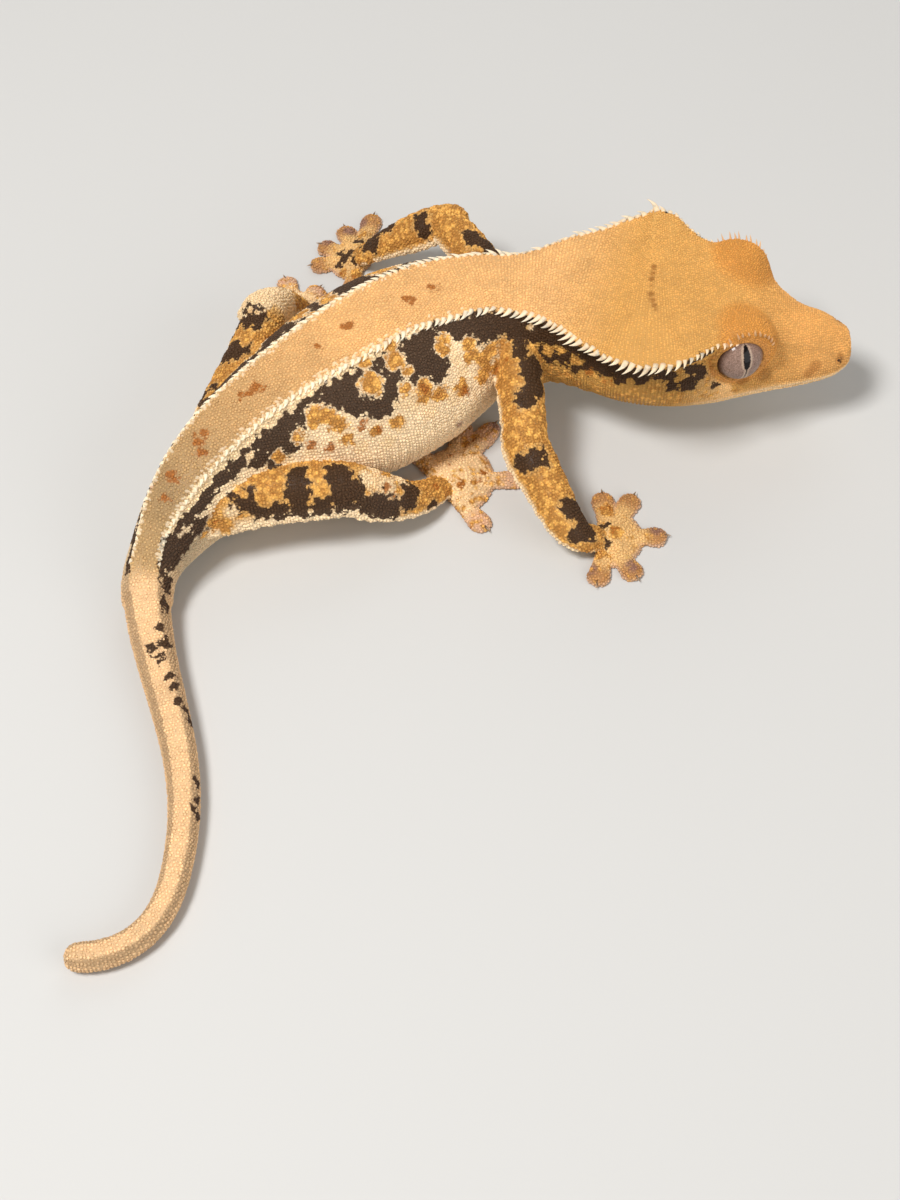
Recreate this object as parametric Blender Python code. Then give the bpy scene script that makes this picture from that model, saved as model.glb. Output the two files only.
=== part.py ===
"""A crested gecko, life size and still: belly, feet and tail on the floor, head raised, +Z up.

Sizes are millimetres in a frame whose X runs along the head and whose Z starts at the floor;
the finished meshes are metres, moved together so that the box of all of them is centred on Z.
"""

import math
import random

import bmesh
import bpy
import numpy as np

METRES = 0.001
GAP = 0.3  # between neighbouring parts

# The trunk, from the tip of the tail to the snout: place in plan and roll in degrees.
PATH = [
    (-43.1, -49.8, 0), (-42.7, -49.8, 0), (-41.6, -49.8, 0), (-38.9, -49.5, 0),
    (-35.8, -48.1, 0), (-33.3, -45.4, 0), (-31.8, -41.6, 0), (-31.1, -36.4, 0),
    (-31.1, -30.6, 0), (-32.0, -24.4, 0), (-33.7, -18.0, 0), (-35.7, -11.4, 0),
    (-37.2, -5.4, 0), (-37.7, -1.0, 0), (-36.8, 2.3, 0), (-34.8, 5.9, 0),
    (-31.0, 11.2, -2), (-26.0, 16.7, -2), (-19.3, 22.3, 1), (-13.1, 27.3, 2),
    (-7.7, 31.6, 2), (-2.3, 34.8, 3.5), (3.9, 36.8, 4), (9.5, 37.0, 4),
    (15.2, 36.4, 1.5), (20.1, 35.1, -1), (25.0, 33.9, -4), (29.2, 33.8, -4),
    (33.0, 33.9, -4), (37.0, 34.0, -4), (41.0, 33.8, -4), (45.0, 33.4, -4),
    (48.8, 33.1, -4), (51.1, 33.0, -4), (52.3, 32.9, -4), (52.7, 32.9, -4),
]
ROLL_HEIGHT = 13.0

# Tail, hips and chest at those places: half width, top, bottom, height of the widest
# level, and how far out the row of spines runs.
OVALS = [
    (0.02, 1.7, 1.66, 1.68, 0.01), (1.15, 2.7, 0.6, 1.65, 0.6), (1.7, 3.2, -0.05, 1.6, 1.0),
    (1.75, 3.35, -0.1, 1.6, 1.0), (1.7, 3.35, -0.1, 1.6, 1.0), (1.7, 3.4, -0.1, 1.6, 1.0),
    (1.75, 3.45, -0.1, 1.7, 1.0), (1.85, 3.6, -0.1, 1.7, 1.1), (1.97, 3.8, -0.1, 1.8, 1.1),
    (2.12, 4.1, -0.1, 1.9, 1.2), (2.3, 4.5, -0.1, 2.1, 1.3), (2.52, 5.0, -0.1, 2.3, 1.4),
    (2.8, 5.8, -0.1, 2.7, 1.6), (3.0, 7.3, 0.2, 3.6, 1.7), (3.4, 10.3, 1.2, 5.6, 1.7),
    (4.2, 13.8, 1.6, 7.6, 2.4), (5.6, 17.0, 1.0, 8.4, 3.1), (7.4, 18.8, 0.2, 8.2, 3.5),
    (10.5, 19.8, -0.4, 8.0, 4.1), (12.5, 20.1, -0.4, 7.8, 4.8), (12.9, 20.0, -0.3, 7.8, 5.0),
    (12.2, 19.5, 0.1, 8.2, 5.4), (10.0, 19.2, 1.4, 9.2, 5.2),
]

# Neck and head: half a section at each place, as (out, up) at seven named lines: middle of
# the back, shield, row of spines, below that row, widest, lower edge and middle of the throat.
HEADS = [
    ((0, 19.1), (3.0, 19.1), (5.7, 18.2), (7.6, 14.6), (8.4, 10.6), (5.7, 5.0), (0, 3.6)),
    ((0, 19.7), (4.2, 19.9), (8.4, 19.5), (8.0, 15.4), (8.2, 10.8), (5.5, 6.3), (0, 4.9)),
    ((0, 20.4), (5.6, 20.7), (11.2, 20.9), (9.1, 16.7), (9.5, 11.8), (6.4, 7.0), (0, 5.7)),
    ((0, 21.3), (6.4, 21.5), (13.0, 22.0), (10.0, 17.7), (10.5, 12.6), (7.2, 7.3), (0, 6.1)),
    ((0, 21.7), (5.8, 21.8), (11.9, 22.1), (9.8, 18.0), (10.4, 12.7), (7.7, 7.4), (0, 6.3)),
    ((0, 21.3), (4.4, 21.3), (8.8, 20.9), (8.5, 17.4), (9.7, 12.5), (7.5, 7.6), (0, 6.7)),
    ((0, 20.4), (3.8, 20.4), (7.5, 19.6), (7.6, 15.8), (8.7, 11.9), (6.9, 7.9), (0, 7.1)),
    ((0, 18.5), (2.8, 18.4), (5.2, 17.5), (6.1, 14.6), (7.5, 11.7), (6.1, 8.2), (0, 7.5)),
    ((0, 16.4), (2.0, 16.3), (3.6, 15.4), (4.9, 13.5), (6.2, 11.4), (5.1, 8.5), (0, 7.9)),
    ((0, 14.8), (1.6, 14.8), (2.9, 14.2), (4.2, 12.9), (4.9, 11.2), (4.0, 8.9), (0, 8.4)),
    ((0, 13.4), (1.2, 13.4), (2.2, 12.9), (3.2, 12.2), (3.7, 11.0), (3.0, 9.4), (0, 9.0)),
    ((0, 12.5), (0.9, 12.5), (1.6, 12.3), (2.1, 11.8), (2.4, 10.9), (1.9, 9.8), (0, 9.5)),
    ((0, 10.9),) * 7,
]
MOUTH = (27.6, 35.0, 4.5, 0.35)  # from the corner to the snout, its line and its depth

TRUNK = {  # name: places along PATH, points around, step along
    "tail_tip": (0, 6.5, 16, 2.2),
    "tail_middle": (6.5, 10.2, 16, 2.6),
    "tail_base": (10.2, 13.5, 20, 2.2),
    "torso_rear": (13.5, 19.0, 32, 2.4),
    "torso_front": (19.0, 22.3, 32, 2.6),
    "neck": (22.3, 24.6, 32, 2.2),
    "head": (24.6, 35.0, 0, 1.6),
}
HEAD_LINES = (0, 0.5, 1, 1.4, 1.75, 2, 2.25, 2.6, 3, 3.5, 4, 4.3, 4.42, 4.5, 4.58, 4.8, 5.2, 5.6)

# Spines stand on line 2 of the trunk and on its mirror, line 10.
SPINE_PITCH, SPINE_LENGTH, SPINE_FOOT, SPINE_SUNK = 2.2, 1.5, 0.42, 0.6
SPINE_ROW = (18.0, 28.0)  # places along PATH
LASHES, LASH_ROW, LASH_LENGTH, LASH_FOOT = 7, (-42, 64), 1.3, 0.28  # degrees ahead of the top

EYE = (36.6, 6.9, 17.0, 3.3)  # along the head, out, up, radius
EYE_AIM = (0.26, 0.93, 0.2)
LID_OUT, LID_THICK = 1.25, 0.62
BROW = (37.2, 6.0, 17.5)  # middle of the dome over an eye: along the head, out, up
BROW_SIZE = (4.4, 4.7, 4.8)  # its half sizes along the head, upward and outward
BROW_AIM, BROW_FACE = (0.2, 0.98, 0.0), 2.4  # which way its flat face looks, and how far out it is
NOSTRIL = (50.5, 3.1, 0.5)  # along the head, line, radius
EAR = (22.6, 3.55, 1.5, 0.55)  # along the head, line, half height, half width

# Legs: centre of the section, half width and half height, from inside the body outwards.
LEGS = {
    "upper_arm_right": [
        (8.6, 33.0, 13.2, 2.7, 3.0), (9.2, 26.8, 12.5, 2.8, 3.0), (9.6, 21.6, 11.0, 2.7, 2.8),
        (9.9, 18.4, 9.7, 2.6, 2.6), (10.1, 16.4, 8.9, 2.1, 2.1), (10.2, 15.0, 8.4, 0.7, 0.7),
    ],
    "forearm_right": [
        (7.9, 21.2, 11.4, 0.7, 0.7), (8.7, 19.7, 10.6, 2.2, 2.1), (10.3, 16.8, 9.0, 2.8, 2.6),
        (12.5, 13.0, 6.8, 2.6, 2.5), (14.6, 9.3, 4.8, 2.4, 2.1), (16.5, 8.0, 3.1, 2.2, 1.7),
        (18.6, 8.6, 1.7, 2.0, 1.3),
    ],
    "upper_arm_left": [
        (7.4, 39.5, 12.2, 2.7, 3.0), (6.0, 43.5, 12.2, 2.8, 3.0), (3.6, 48.2, 12.2, 2.6, 2.8),
        (1.4, 52.4, 11.8, 2.5, 2.6), (-0.5, 55.5, 11.2, 2.4, 2.4), (-1.6, 57.0, 10.9, 1.9, 1.9),
        (-2.3, 57.9, 10.7, 0.7, 0.7),
    ],
    "forearm_left": [
        (2.4, 55.0, 12.7, 0.7, 0.7), (1.0, 55.3, 12.2, 2.1, 2.0), (-1.8, 55.9, 10.8, 2.6, 2.4),
        (-5.0, 56.5, 8.6, 2.6, 2.4), (-7.8, 57.1, 6.4, 2.3, 2.1), (-10.2, 57.8, 4.2, 2.1, 1.7),
        (-12.4, 58.6, 2.0, 1.9, 1.3),
    ],
    "thigh_right": [
        (-32.5, 12.8, 9.0, 3.2, 3.6), (-30.6, 8.9, 8.6, 3.4, 3.9), (-26.0, 9.7, 8.7, 3.3, 3.8),
        (-21.0, 10.5, 9.0, 3.3, 3.6), (-16.5, 10.8, 9.2, 3.2, 3.5), (-13.0, 11.2, 9.1, 3.0, 3.2),
        (-10.6, 11.4, 8.8, 2.3, 2.4), (-9.2, 11.5, 8.5, 0.8, 0.8),
    ],
    "shin_right": [
        (-16.2, 10.8, 10.4, 0.8, 0.8), (-14.8, 11.0, 9.8, 2.4, 2.5), (-11.6, 11.4, 8.2, 3.0, 3.1),
        (-8.2, 11.9, 6.3, 2.8, 2.8), (-5.4, 12.9, 4.4, 2.4, 2.2), (-3.2, 14.8, 2.8, 2.2, 1.7),
        (-1.6, 16.8, 1.6, 2.0, 1.3),
    ],
    "thigh_left": [
        (-29.6, 13.5, 9.8, 3.0, 3.4), (-30.2, 18.4, 10.4, 3.1, 3.6), (-28.6, 23.8, 10.9, 3.1, 3.5),
        (-26.6, 29.2, 11.7, 3.0, 3.3), (-24.8, 34.6, 12.5, 2.9, 3.0), (-23.9, 37.8, 12.8, 2.3, 2.4),
        (-23.3, 39.3, 12.9, 0.8, 0.8),
    ],
    "shin_left": [
        (-26.0, 34.6, 15.0, 0.8, 0.8), (-25.4, 35.8, 14.2, 2.3, 2.4), (-24.3, 38.6, 12.0, 2.8, 2.8),
        (-23.3, 42.0, 9.0, 2.6, 2.6), (-22.5, 45.0, 6.0, 2.3, 2.2), (-21.9, 47.2, 3.7, 2.1, 1.7),
        (-21.4, 49.0, 1.8, 1.9, 1.3),
    ],
}
FRINGE = 1.1  # how far the fold of skin stands out along the back of the legs
JOINTS = {  # where a leg's two lengths meet, and the way from the upper to the lower
    "elbow_right": ((9.9, 17.8, 9.5), (0.3, -0.85, -0.43)),
    "elbow_left": ((-0.9, 55.8, 11.0), (-0.7, 0.5, -0.36)),
    "knee_right": ((-12.6, 11.2, 8.9), (0.92, 0.1, -0.3)),
    "knee_left": ((-24.5, 37.4, 12.6), (0.34, 0.8, -0.4)),
    "wrist_right": ((15.5, 8.4, 3.9), (0.7, -0.5, -0.5)),
    "wrist_left": ((-9.3, 57.5, 5.0), (-0.74, 0.2, -0.62)),
    "ankle_right": ((-4.3, 13.8, 3.5), (0.66, 0.5, -0.52)),
    "ankle_left": ((-22.1, 46.4, 4.6), (0.18, 0.66, -0.7)),
}

# Feet: where the palm is, then the tip of each toe.
FEET = {
    "hand_right": ((20.3, 9.4), [(18.6, 1.9), (23.9, 2.9), (28.1, 9.8), (24.2, 16.6), (19.9, 17.0)]),
    "hand_left": ((-13.4, 59.2), [(-11.0, 68.5), (-15.4, 66.0), (-18.9, 62.3), (-20.0, 58.0),
                                  (-13.8, 52.8)]),
    "foot_right": ((-0.9, 18.4), [(4.9, 10.7), (10.4, 19.3), (6.3, 28.9), (2.2, 29.0), (-4.9, 24.5)]),
    "foot_left": ((-21.2, 49.4), [(-16.6, 43.6), (-14.0, 48.4), (-18.3, 53.9), (-23.6, 55.8),
                                  (-27.8, 52.2)]),
}
PALM_HEIGHT, WEB_SHARE = 2.3, 0.6
TOE_HALF, TOE_HEIGHT = 1.15, 1.35
CLAW_LENGTH, CLAW_FOOT = 1.1, 0.3

SKIN = (0.78, 0.55, 0.28, 1)
EYE_COLOUR = (0.55, 0.47, 0.42, 1)


def curve(rows, t):
    """Catmull-Rom through the rows, with t counted in rows."""
    rows = np.asarray(rows, float)
    rows = np.concatenate([2 * rows[:1] - rows[1:2], rows, 2 * rows[-1:] - rows[-2:-1]])
    t = np.clip(np.asarray(t, float), 0, len(rows) - 3)
    i = np.minimum(t.astype(int), len(rows) - 4)
    f = (t - i).reshape(t.shape + (1,) * (rows.ndim - 1))
    a, b, c, d = rows[i], rows[i + 1], rows[i + 2], rows[i + 3]
    return b + f / 2 * (c - a + f * (2 * a - 5 * b + 4 * c - d + f * (3 * (b - c) + d - a)))


def unit(vectors):
    """The vectors at length one."""
    return vectors / np.maximum(np.linalg.norm(vectors, axis=-1, keepdims=True), 1e-9)


def oval(half, top, bottom, wide, row):
    """The seven points of half a section: an oval, flatter on the back and squarer below."""
    def up(out):
        return wide + (top - wide) * (1 - (out / half) ** 2.2) ** (1 / 2.2)
    flank = 0.5 * (row + half) + 0.06 * half
    low = 0.7 * half
    return ((0, top), (0.52 * row, (up(0.52 * row) + top) / 2), (row, (up(row) + top) / 2),
            (flank, up(flank)), (half, wide), (low, wide - (wide - bottom) * 0.8), (0, bottom))


SECTIONS = np.array([oval(*o) for o in OVALS] + [list(h) for h in HEADS], float)


def section(t, v, grow=0.0):
    """Out (left) and up for each place t and each line v, 0 to 12 around, moved out by grow."""
    half = curve(SECTIONS, t)
    ring = np.concatenate([half, half[:, 5:0:-1] * (-1, 1)], axis=1)
    v = np.asarray(v, float) % 12
    i = v.astype(int)
    f = (v - i)[None, :, None]
    a, b, c, d = (ring[:, (i + k) % 12] for k in (-1, 0, 1, 2))
    points = b + f / 2 * (c - a + f * (2 * a - 5 * b + 4 * c - d + f * (3 * (b - c) + d - a)))
    along = (c - a) * (1 - f) + (d - b) * f
    normal = unit(along[..., ::-1] * (-1, 1))
    start, end, line, depth = MOUTH
    shut = np.clip((t - start) / 1.5, 0, 1) * (t < end)
    near = np.minimum(abs(v - line), abs(12 - v - line))
    groove = depth * shut[:, None] * np.clip(1 - near / 0.06, 0, 1)
    return points + normal * (grow - groove)[..., None]


def place(t, out, up):
    """Points of the animal's frame from places along the trunk, distances out and heights."""
    t = np.asarray(t, float)
    here = curve(PATH, t)
    roll = np.radians(here[..., 2])
    ahead = unit((curve(PATH, t + 0.02) - curve(PATH, t - 0.02))[..., :2])
    left = np.stack([-ahead[..., 1], ahead[..., 0]], axis=-1)
    side = out * np.cos(roll) + (up - ROLL_HEIGHT) * np.sin(roll)
    height = ROLL_HEIGHT + (up - ROLL_HEIGHT) * np.cos(roll) - out * np.sin(roll)
    return np.concatenate([here[..., :2] + left * side[..., None], height[..., None]], axis=-1)


def trunk_points(t, lines, grow=0.0):
    """The trunk's surface at places t and lines v, none of it below the floor."""
    points = section(t, lines, grow)
    rings = place(np.repeat(t[:, None], len(lines), axis=1), points[..., 0], points[..., 1])
    rings[..., 2] = np.maximum(rings[..., 2], 0)
    return rings


def trunk_rings(start, end, lines, step, grow=0.0):
    """Rings from one place on the trunk to another, half a gap short of a neighbour.

    They stand closer together at the tip of the tail and at the snout.
    """
    fine = np.linspace(start, end, 400)
    run = np.linalg.norm(np.diff(curve(PATH, fine)[:, :2], axis=0), axis=1)
    run = np.concatenate([[0], np.cumsum(run)])
    first = GAP / 2 if start > 0 else 0
    last = run[-1] - (GAP / 2 if end < len(PATH) - 1 else 0)
    t = np.interp(np.linspace(first, last, max(3, round(run[-1] / step) + 1)), run, fine)
    if start == 0:
        t = np.concatenate([[0, 0.5, 1, 1.5], t[t > 1.8]])
    if end == len(PATH) - 1:
        t = np.concatenate([t[t < 32.6], [33, 33.5, 34, 34.4, 34.75, 35]])
    return trunk_points(t, lines, grow)


def on_trunk(t, v):
    """One point of the trunk, the way out of it, the way up along it and the way ahead."""
    t, lines = np.array([t - 0.02, t, t + 0.02]), np.array([v - 0.02, v, v + 0.02]) % 12
    patch = trunk_points(t, lines)
    ahead, round_it = unit(patch[2, 1] - patch[0, 1]), unit(patch[1, 2] - patch[1, 0])
    return patch[1, 1], np.cross(ahead, round_it), round_it, ahead


def leg_rings(rows, lines, step, fringe):
    """Rings of points square to a leg's own path, ovals with a fold standing out at one line."""
    rows = np.asarray(rows, float)
    length = np.linalg.norm(np.diff(rows[:, :3], axis=0), axis=1).sum()
    t = np.linspace(0, len(rows) - 1, max(5, round(length / step) + 1))
    here = curve(rows, t)
    ahead = unit((curve(rows, t + 0.05) - curve(rows, t - 0.05))[:, :3])
    side = unit(np.cross((0, 0, 1), ahead))
    over = np.cross(ahead, side)
    turn = 2 * math.pi * np.arange(lines) / lines
    fold = FRINGE * np.clip(here[:, 3:4] - 1.9, 0, 1) * (np.arange(lines) == fringe)
    across = side[:, None] * ((here[:, 3:4] + fold) * np.cos(turn))[..., None]
    return here[:, None, :3] + across + over[:, None] * ((here[:, 4:5] + fold) * np.sin(turn))[
        ..., None]


def toe_rings(palm, tip):
    """Rings of a toe with a flat sole, from inside the palm to the round end of its pad."""
    palm, tip = np.array(palm), np.array(tip)
    length = np.linalg.norm(tip - palm)
    ahead = (tip - palm) / length
    side = np.array([-ahead[1], ahead[0]])
    s = np.array([0.15, 0.4, 0.58, 0.72, 0.84, 0.94, 1.0])
    half = TOE_HALF * np.array([1.0, 1.0, 1.1, 1.35, 1.4, 1.05, 0.35])
    high = TOE_HEIGHT * np.array([1.15, 1.0, 0.9, 0.8, 0.75, 0.6, 0.3])
    across = np.array([-0.96, -1, -0.62, 0, 0.62, 1, 0.96])
    above = np.array([0, 0.4, 0.85, 1, 0.85, 0.4, 0]) * high[:, None]
    above[:, (0, -1)] = -0.3
    plan = (palm + ahead * (s * length)[:, None])[:, None] + side * (half[:, None] * across)[
        ..., None]
    return np.concatenate([plan, above[..., None]], axis=2)


def palm_rings(palm, tips):
    """A low dome round the palm, drawn out into a web between the toes."""
    palm = np.array(palm)
    reach = np.array(tips) - palm
    middle = reach.mean(axis=0)
    base = math.atan2(middle[1], middle[0])
    angles = (np.arctan2(reach[:, 1], reach[:, 0]) - base + math.pi) % (2 * math.pi) - math.pi
    order = np.argsort(angles)
    far = np.linalg.norm(reach, axis=1)[order] * WEB_SHARE
    turn = 2 * math.pi * np.arange(28) / 28 - math.pi
    radius = np.maximum(2.2, np.interp(turn, angles[order], far, left=0, right=0))
    plan = np.stack([np.cos(turn + base), np.sin(turn + base)], axis=1) * radius[:, None]
    shares = [(1, -0.35), (1, 0.35), (0.86, 0.8), (0.6, 1.25), (0.3, 0.85 * PALM_HEIGHT),
              (0, PALM_HEIGHT)]
    return np.array([np.column_stack([palm + plan * share, np.full(len(plan), height)])
                     for share, height in shares])


def cone_rings(foot, ahead, bend, length, radius, sides=5):
    """A tapered spine: a ring sunk in the skin, one half way out and the tip, bent one way."""
    ahead, bend = unit(np.asarray(ahead, float)), np.asarray(bend, float)
    side = unit(np.cross(ahead, (0.31, 0.17, 0.94)))
    over = np.cross(ahead, side)
    turn = 2 * math.pi * np.arange(sides) / sides
    ring = side * np.cos(turn)[:, None] + over * np.sin(turn)[:, None]
    return np.array([foot + ahead * reach + bend * lean + ring * wide for reach, lean, wide in (
        (-SPINE_SUNK, 0, 1.1 * radius), (0.45 * length, 0.12 * length, 0.62 * radius),
        (length, 0.4 * length, 0))])


def ball_rings(size, around=20, rows=12):
    """An ellipsoid about the origin, its poles along Z, with its three half sizes."""
    lat = np.linspace(-math.pi / 2, math.pi / 2, rows + 1)
    lon = 2 * math.pi * np.arange(around) / around
    ring = np.stack([np.cos(lon), np.sin(lon), lon * 0], axis=1)
    return (np.cos(lat)[:, None, None] * ring + np.sin(lat)[:, None, None] * (0, 0, 1)) * size


def hoop(radius, thick, around=20, sides=6):
    """A ring about Z as a closed bmesh, lying in the plane of its own centre."""
    mesh = bmesh.new()
    turn = 2 * math.pi * np.arange(around) / around
    tube = 2 * math.pi * np.arange(sides) / sides
    out = radius + thick * np.cos(tube)[:, None]
    rings = np.stack([out * np.cos(turn), out * np.sin(turn),
                      thick * np.sin(tube)[:, None] + 0 * turn], axis=2)
    points = [[mesh.verts.new(p) for p in ring] for ring in rings.tolist()]
    for i in range(sides):
        for j in range(around):
            k, m = (i + 1) % sides, (j + 1) % around
            mesh.faces.new((points[i][j], points[i][m], points[k][m], points[k][j]))
    return settled(mesh)


def turned(points, aim, at):
    """The points with +Z turned to aim and +Y kept level, moved to a place."""
    aim = unit(np.array(aim, float))
    side = unit(np.cross((0, 0, 1), aim))
    return points @ np.array([side, np.cross(aim, side), aim]) + at


def skin(rings):
    """A closed bmesh over rings of points, flat at both ends or drawn to a point."""
    mesh = bmesh.new()
    rows, around = rings.shape[:2]
    points = [[mesh.verts.new(p) for p in ring] for ring in rings.tolist()]
    for i in range(rows - 1):
        for j in range(around):
            k = (j + 1) % around
            mesh.faces.new((points[i][j], points[i][k], points[i + 1][k], points[i + 1][j]))
    mesh.faces.new(points[0][::-1])
    mesh.faces.new(points[-1])
    bmesh.ops.remove_doubles(mesh, verts=mesh.verts, dist=1e-4)
    return settled(mesh)


def settled(mesh):
    """The bmesh with all its faces outward."""
    bmesh.ops.recalc_face_normals(mesh, faces=mesh.faces)
    if mesh.calc_volume(signed=True) < 0:
        bmesh.ops.reverse_faces(mesh, faces=mesh.faces)
    return mesh


def cut(mesh, point, away):
    """Cuts off all of a bmesh on the side of the plane that away points to, and closes it."""
    parts = mesh.verts[:] + mesh.edges[:] + mesh.faces[:]
    bmesh.ops.bisect_plane(mesh, geom=parts, dist=1e-5, plane_co=point, plane_no=away,
                           clear_outer=True)
    bmesh.ops.holes_fill(mesh, edges=[e for e in mesh.edges if e.is_boundary], sides=0)
    bmesh.ops.recalc_face_normals(mesh, faces=mesh.faces)


def trim(mesh, joint, upper):
    """Cuts a leg at a joint, half the gap short of it, keeping the upper or the lower side."""
    point, ahead = np.array(JOINTS[joint][0]), unit(np.array(JOINTS[joint][1]))
    way = 1 if upper else -1
    cut(mesh, point - way * ahead * GAP / 2, way * ahead)


def add(name, mesh, collection, colour):
    """The bmesh as an object of a collection, in millimetres for now."""
    data = bpy.data.meshes.new(name)
    mesh.to_mesh(data)
    mesh.free()
    thing = bpy.data.objects.new(name, data)
    collection.objects.link(thing)
    if colour:
        paint = bpy.data.materials.new(name + "_paint")
        paint.use_nodes = True
        paint.node_tree.nodes["Principled BSDF"].inputs["Base Color"].default_value = colour
        data.materials.append(paint)
    return thing


def combine(thing, pieces, operation):
    """One Boolean with all the pieces, applied; the pieces go, and the largest body stays."""
    group = bpy.data.collections.new(thing.name + "_pieces")
    bpy.context.scene.collection.children.link(group)
    for k, mesh in enumerate(pieces):
        add(f"{thing.name}_piece_{k}", mesh, group, None)
    step = thing.modifiers.new("pieces", "BOOLEAN")
    step.operation, step.solver = operation, "EXACT"
    step.operand_type, step.collection = "COLLECTION", group
    bpy.context.view_layer.update()
    made = bpy.data.meshes.new_from_object(
        thing.evaluated_get(bpy.context.evaluated_depsgraph_get()))
    thing.modifiers.remove(step)
    for piece in list(group.objects):
        bpy.data.objects.remove(piece)
    bpy.data.collections.remove(group)
    mesh = bmesh.new()
    mesh.from_mesh(made)
    keep_largest(mesh)
    mesh.to_mesh(thing.data)
    mesh.free()
    bpy.data.meshes.remove(made)


def keep_largest(mesh):
    """Deletes every surface of a bmesh but the one with the most points."""
    left, bodies = set(mesh.verts), []
    while left:
        body, edge = set(), [next(iter(left))]
        while edge:
            vert = edge.pop()
            if vert not in body:
                body.add(vert)
                edge += [e.other_vert(vert) for e in vert.link_edges]
        left -= body
        bodies.append(body)
    bodies.sort(key=len)
    bmesh.ops.delete(mesh, geom=[v for body in bodies[:-1] for v in body], context="VERTS")


def spines():
    """The rows of spines as bmeshes, each list under the part that it stands on."""
    chance = random.Random(11)
    rows = {name: [] for name in TRUNK}
    fine = np.linspace(*SPINE_ROW, 800)
    for v, way in ((2, 1), (10, -1)):
        line = trunk_points(fine, np.array([v]))[:, 0]
        run = np.concatenate([[0], np.cumsum(np.linalg.norm(np.diff(line, axis=0), axis=1))])
        for where in np.arange(0.5, run[-1], SPINE_PITCH):
            t = float(np.interp(where, run, fine))
            name = next(n for n, (start, end, *_) in TRUNK.items() if start <= t < end)
            if min(abs(t - edge) for edge in TRUNK[name][:2]) < 0.12:
                continue
            foot, out, up, ahead = on_trunk(t, v)
            rise = min(1.0, 0.55 + (t - SPINE_ROW[0]) * 0.12) * chance.uniform(0.9, 1.1)
            rows[name].append(skin(cone_rings(
                foot, out * 0.8 - way * up * 0.25 + (0, 0, 0.35) - ahead * 0.25, -ahead,
                SPINE_LENGTH * rise, SPINE_FOOT)))
    return rows


def beside(spot, way):
    """A point of the head given along it, out and up, on the left where way is 1."""
    along, out, up = spot
    at = np.interp(along, [row[0] for row in PATH[22:]], range(22, len(PATH)))
    return place(at, way * out, up)


def brow(way):
    """The dome over an eye with its flat face, and the lashes fanned out from that face's edge."""
    aim = unit(np.array((BROW_AIM[0], way * BROW_AIM[1], BROW_AIM[2])))
    middle = beside(BROW, way)
    dome = ball_rings(BROW_SIZE, 28, 16)
    dome[..., 2] = np.minimum(dome[..., 2], BROW_FACE)
    made = [skin(turned(dome, aim, middle))]
    reach = math.sqrt(1 - (BROW_FACE / BROW_SIZE[2]) ** 2)
    for angle in np.radians(np.linspace(*LASH_ROW, LASHES)):
        edge = np.array((-way * math.sin(angle), math.cos(angle), 0))
        foot = edge * BROW_SIZE * reach + (0, 0, BROW_FACE - 0.25)
        made.append(skin(cone_rings(turned(foot, aim, middle), turned(edge + (0, 0, 0.7), aim, 0),
                                    (0, 0, 0.5), LASH_LENGTH, LASH_FOOT)))
    return made


def build_trunk(gecko):
    """Tail, body, neck and head with their spines, and both eyes."""
    lines = {n: np.arange(n) * 12 / n for n in (16, 20, 32)}
    half = np.array(HEAD_LINES)
    lines[0] = np.concatenate([half, [6], 12 - half[:0:-1]])
    rows = spines()
    for name, (start, end, count, step) in TRUNK.items():
        part = add(name, skin(trunk_rings(start, end, lines[count], step)), gecko, SKIN)
        if name != "head" and rows[name]:
            combine(part, rows[name], "UNION")
    along, out, up, radius = EYE
    xs = [row[0] for row in PATH[22:]]
    unions, cuts = rows["head"] + brow(1) + brow(-1), []
    for side, way in (("left", 1), ("right", -1)):
        at = beside((along, out, up), way)
        aim = (EYE_AIM[0], way * EYE_AIM[1], EYE_AIM[2])
        add("eye_" + side, skin(turned(ball_rings(radius), aim, at)), gecko, EYE_COLOUR)
        cuts.append(skin(turned(ball_rings(radius + GAP), aim, at)))
        lid = hoop(math.sqrt((radius + GAP) ** 2 - LID_OUT ** 2) + 0.1, LID_THICK)
        for vert in lid.verts:
            vert.co = turned(np.array(vert.co) + (0, 0, LID_OUT), aim, at)
        unions.append(lid)
        for x, v, size in ((NOSTRIL[0], NOSTRIL[1], (NOSTRIL[2], NOSTRIL[2], 0.6)),
                           (EAR[0], EAR[1], (EAR[3], EAR[2], 0.7))):
            point, away, _, _ = on_trunk(np.interp(x, xs, range(22, len(PATH))), v % 12 if way > 0
                                         else 12 - v)
            cuts.append(skin(turned(ball_rings(size, 10, 6), away, point)))
    combine(bpy.data.objects["head"], unions, "UNION")
    combine(bpy.data.objects["head"], cuts, "DIFFERENCE")


def build_legs(gecko):
    """Both lengths of each leg, trimmed to each other and to the trunk."""
    around = skin(trunk_rings(11.0, 27.0, np.arange(32) * 12 / 32, 2.0, GAP))
    for name, rows in LEGS.items():
        part, side = name.rsplit("_", 1)
        upper, front = part in ("upper_arm", "thigh"), part in ("upper_arm", "forearm")
        mesh = skin(leg_rings(rows, 16, 2.4, 9 if side == "right" else 15))
        trim(mesh, ("elbow_" if front else "knee_") + side, upper)
        if not upper:
            trim(mesh, ("wrist_" if front else "ankle_") + side, True)
        combine(add(name, mesh, gecko, SKIN), [around.copy()], "DIFFERENCE")
    around.free()


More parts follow.
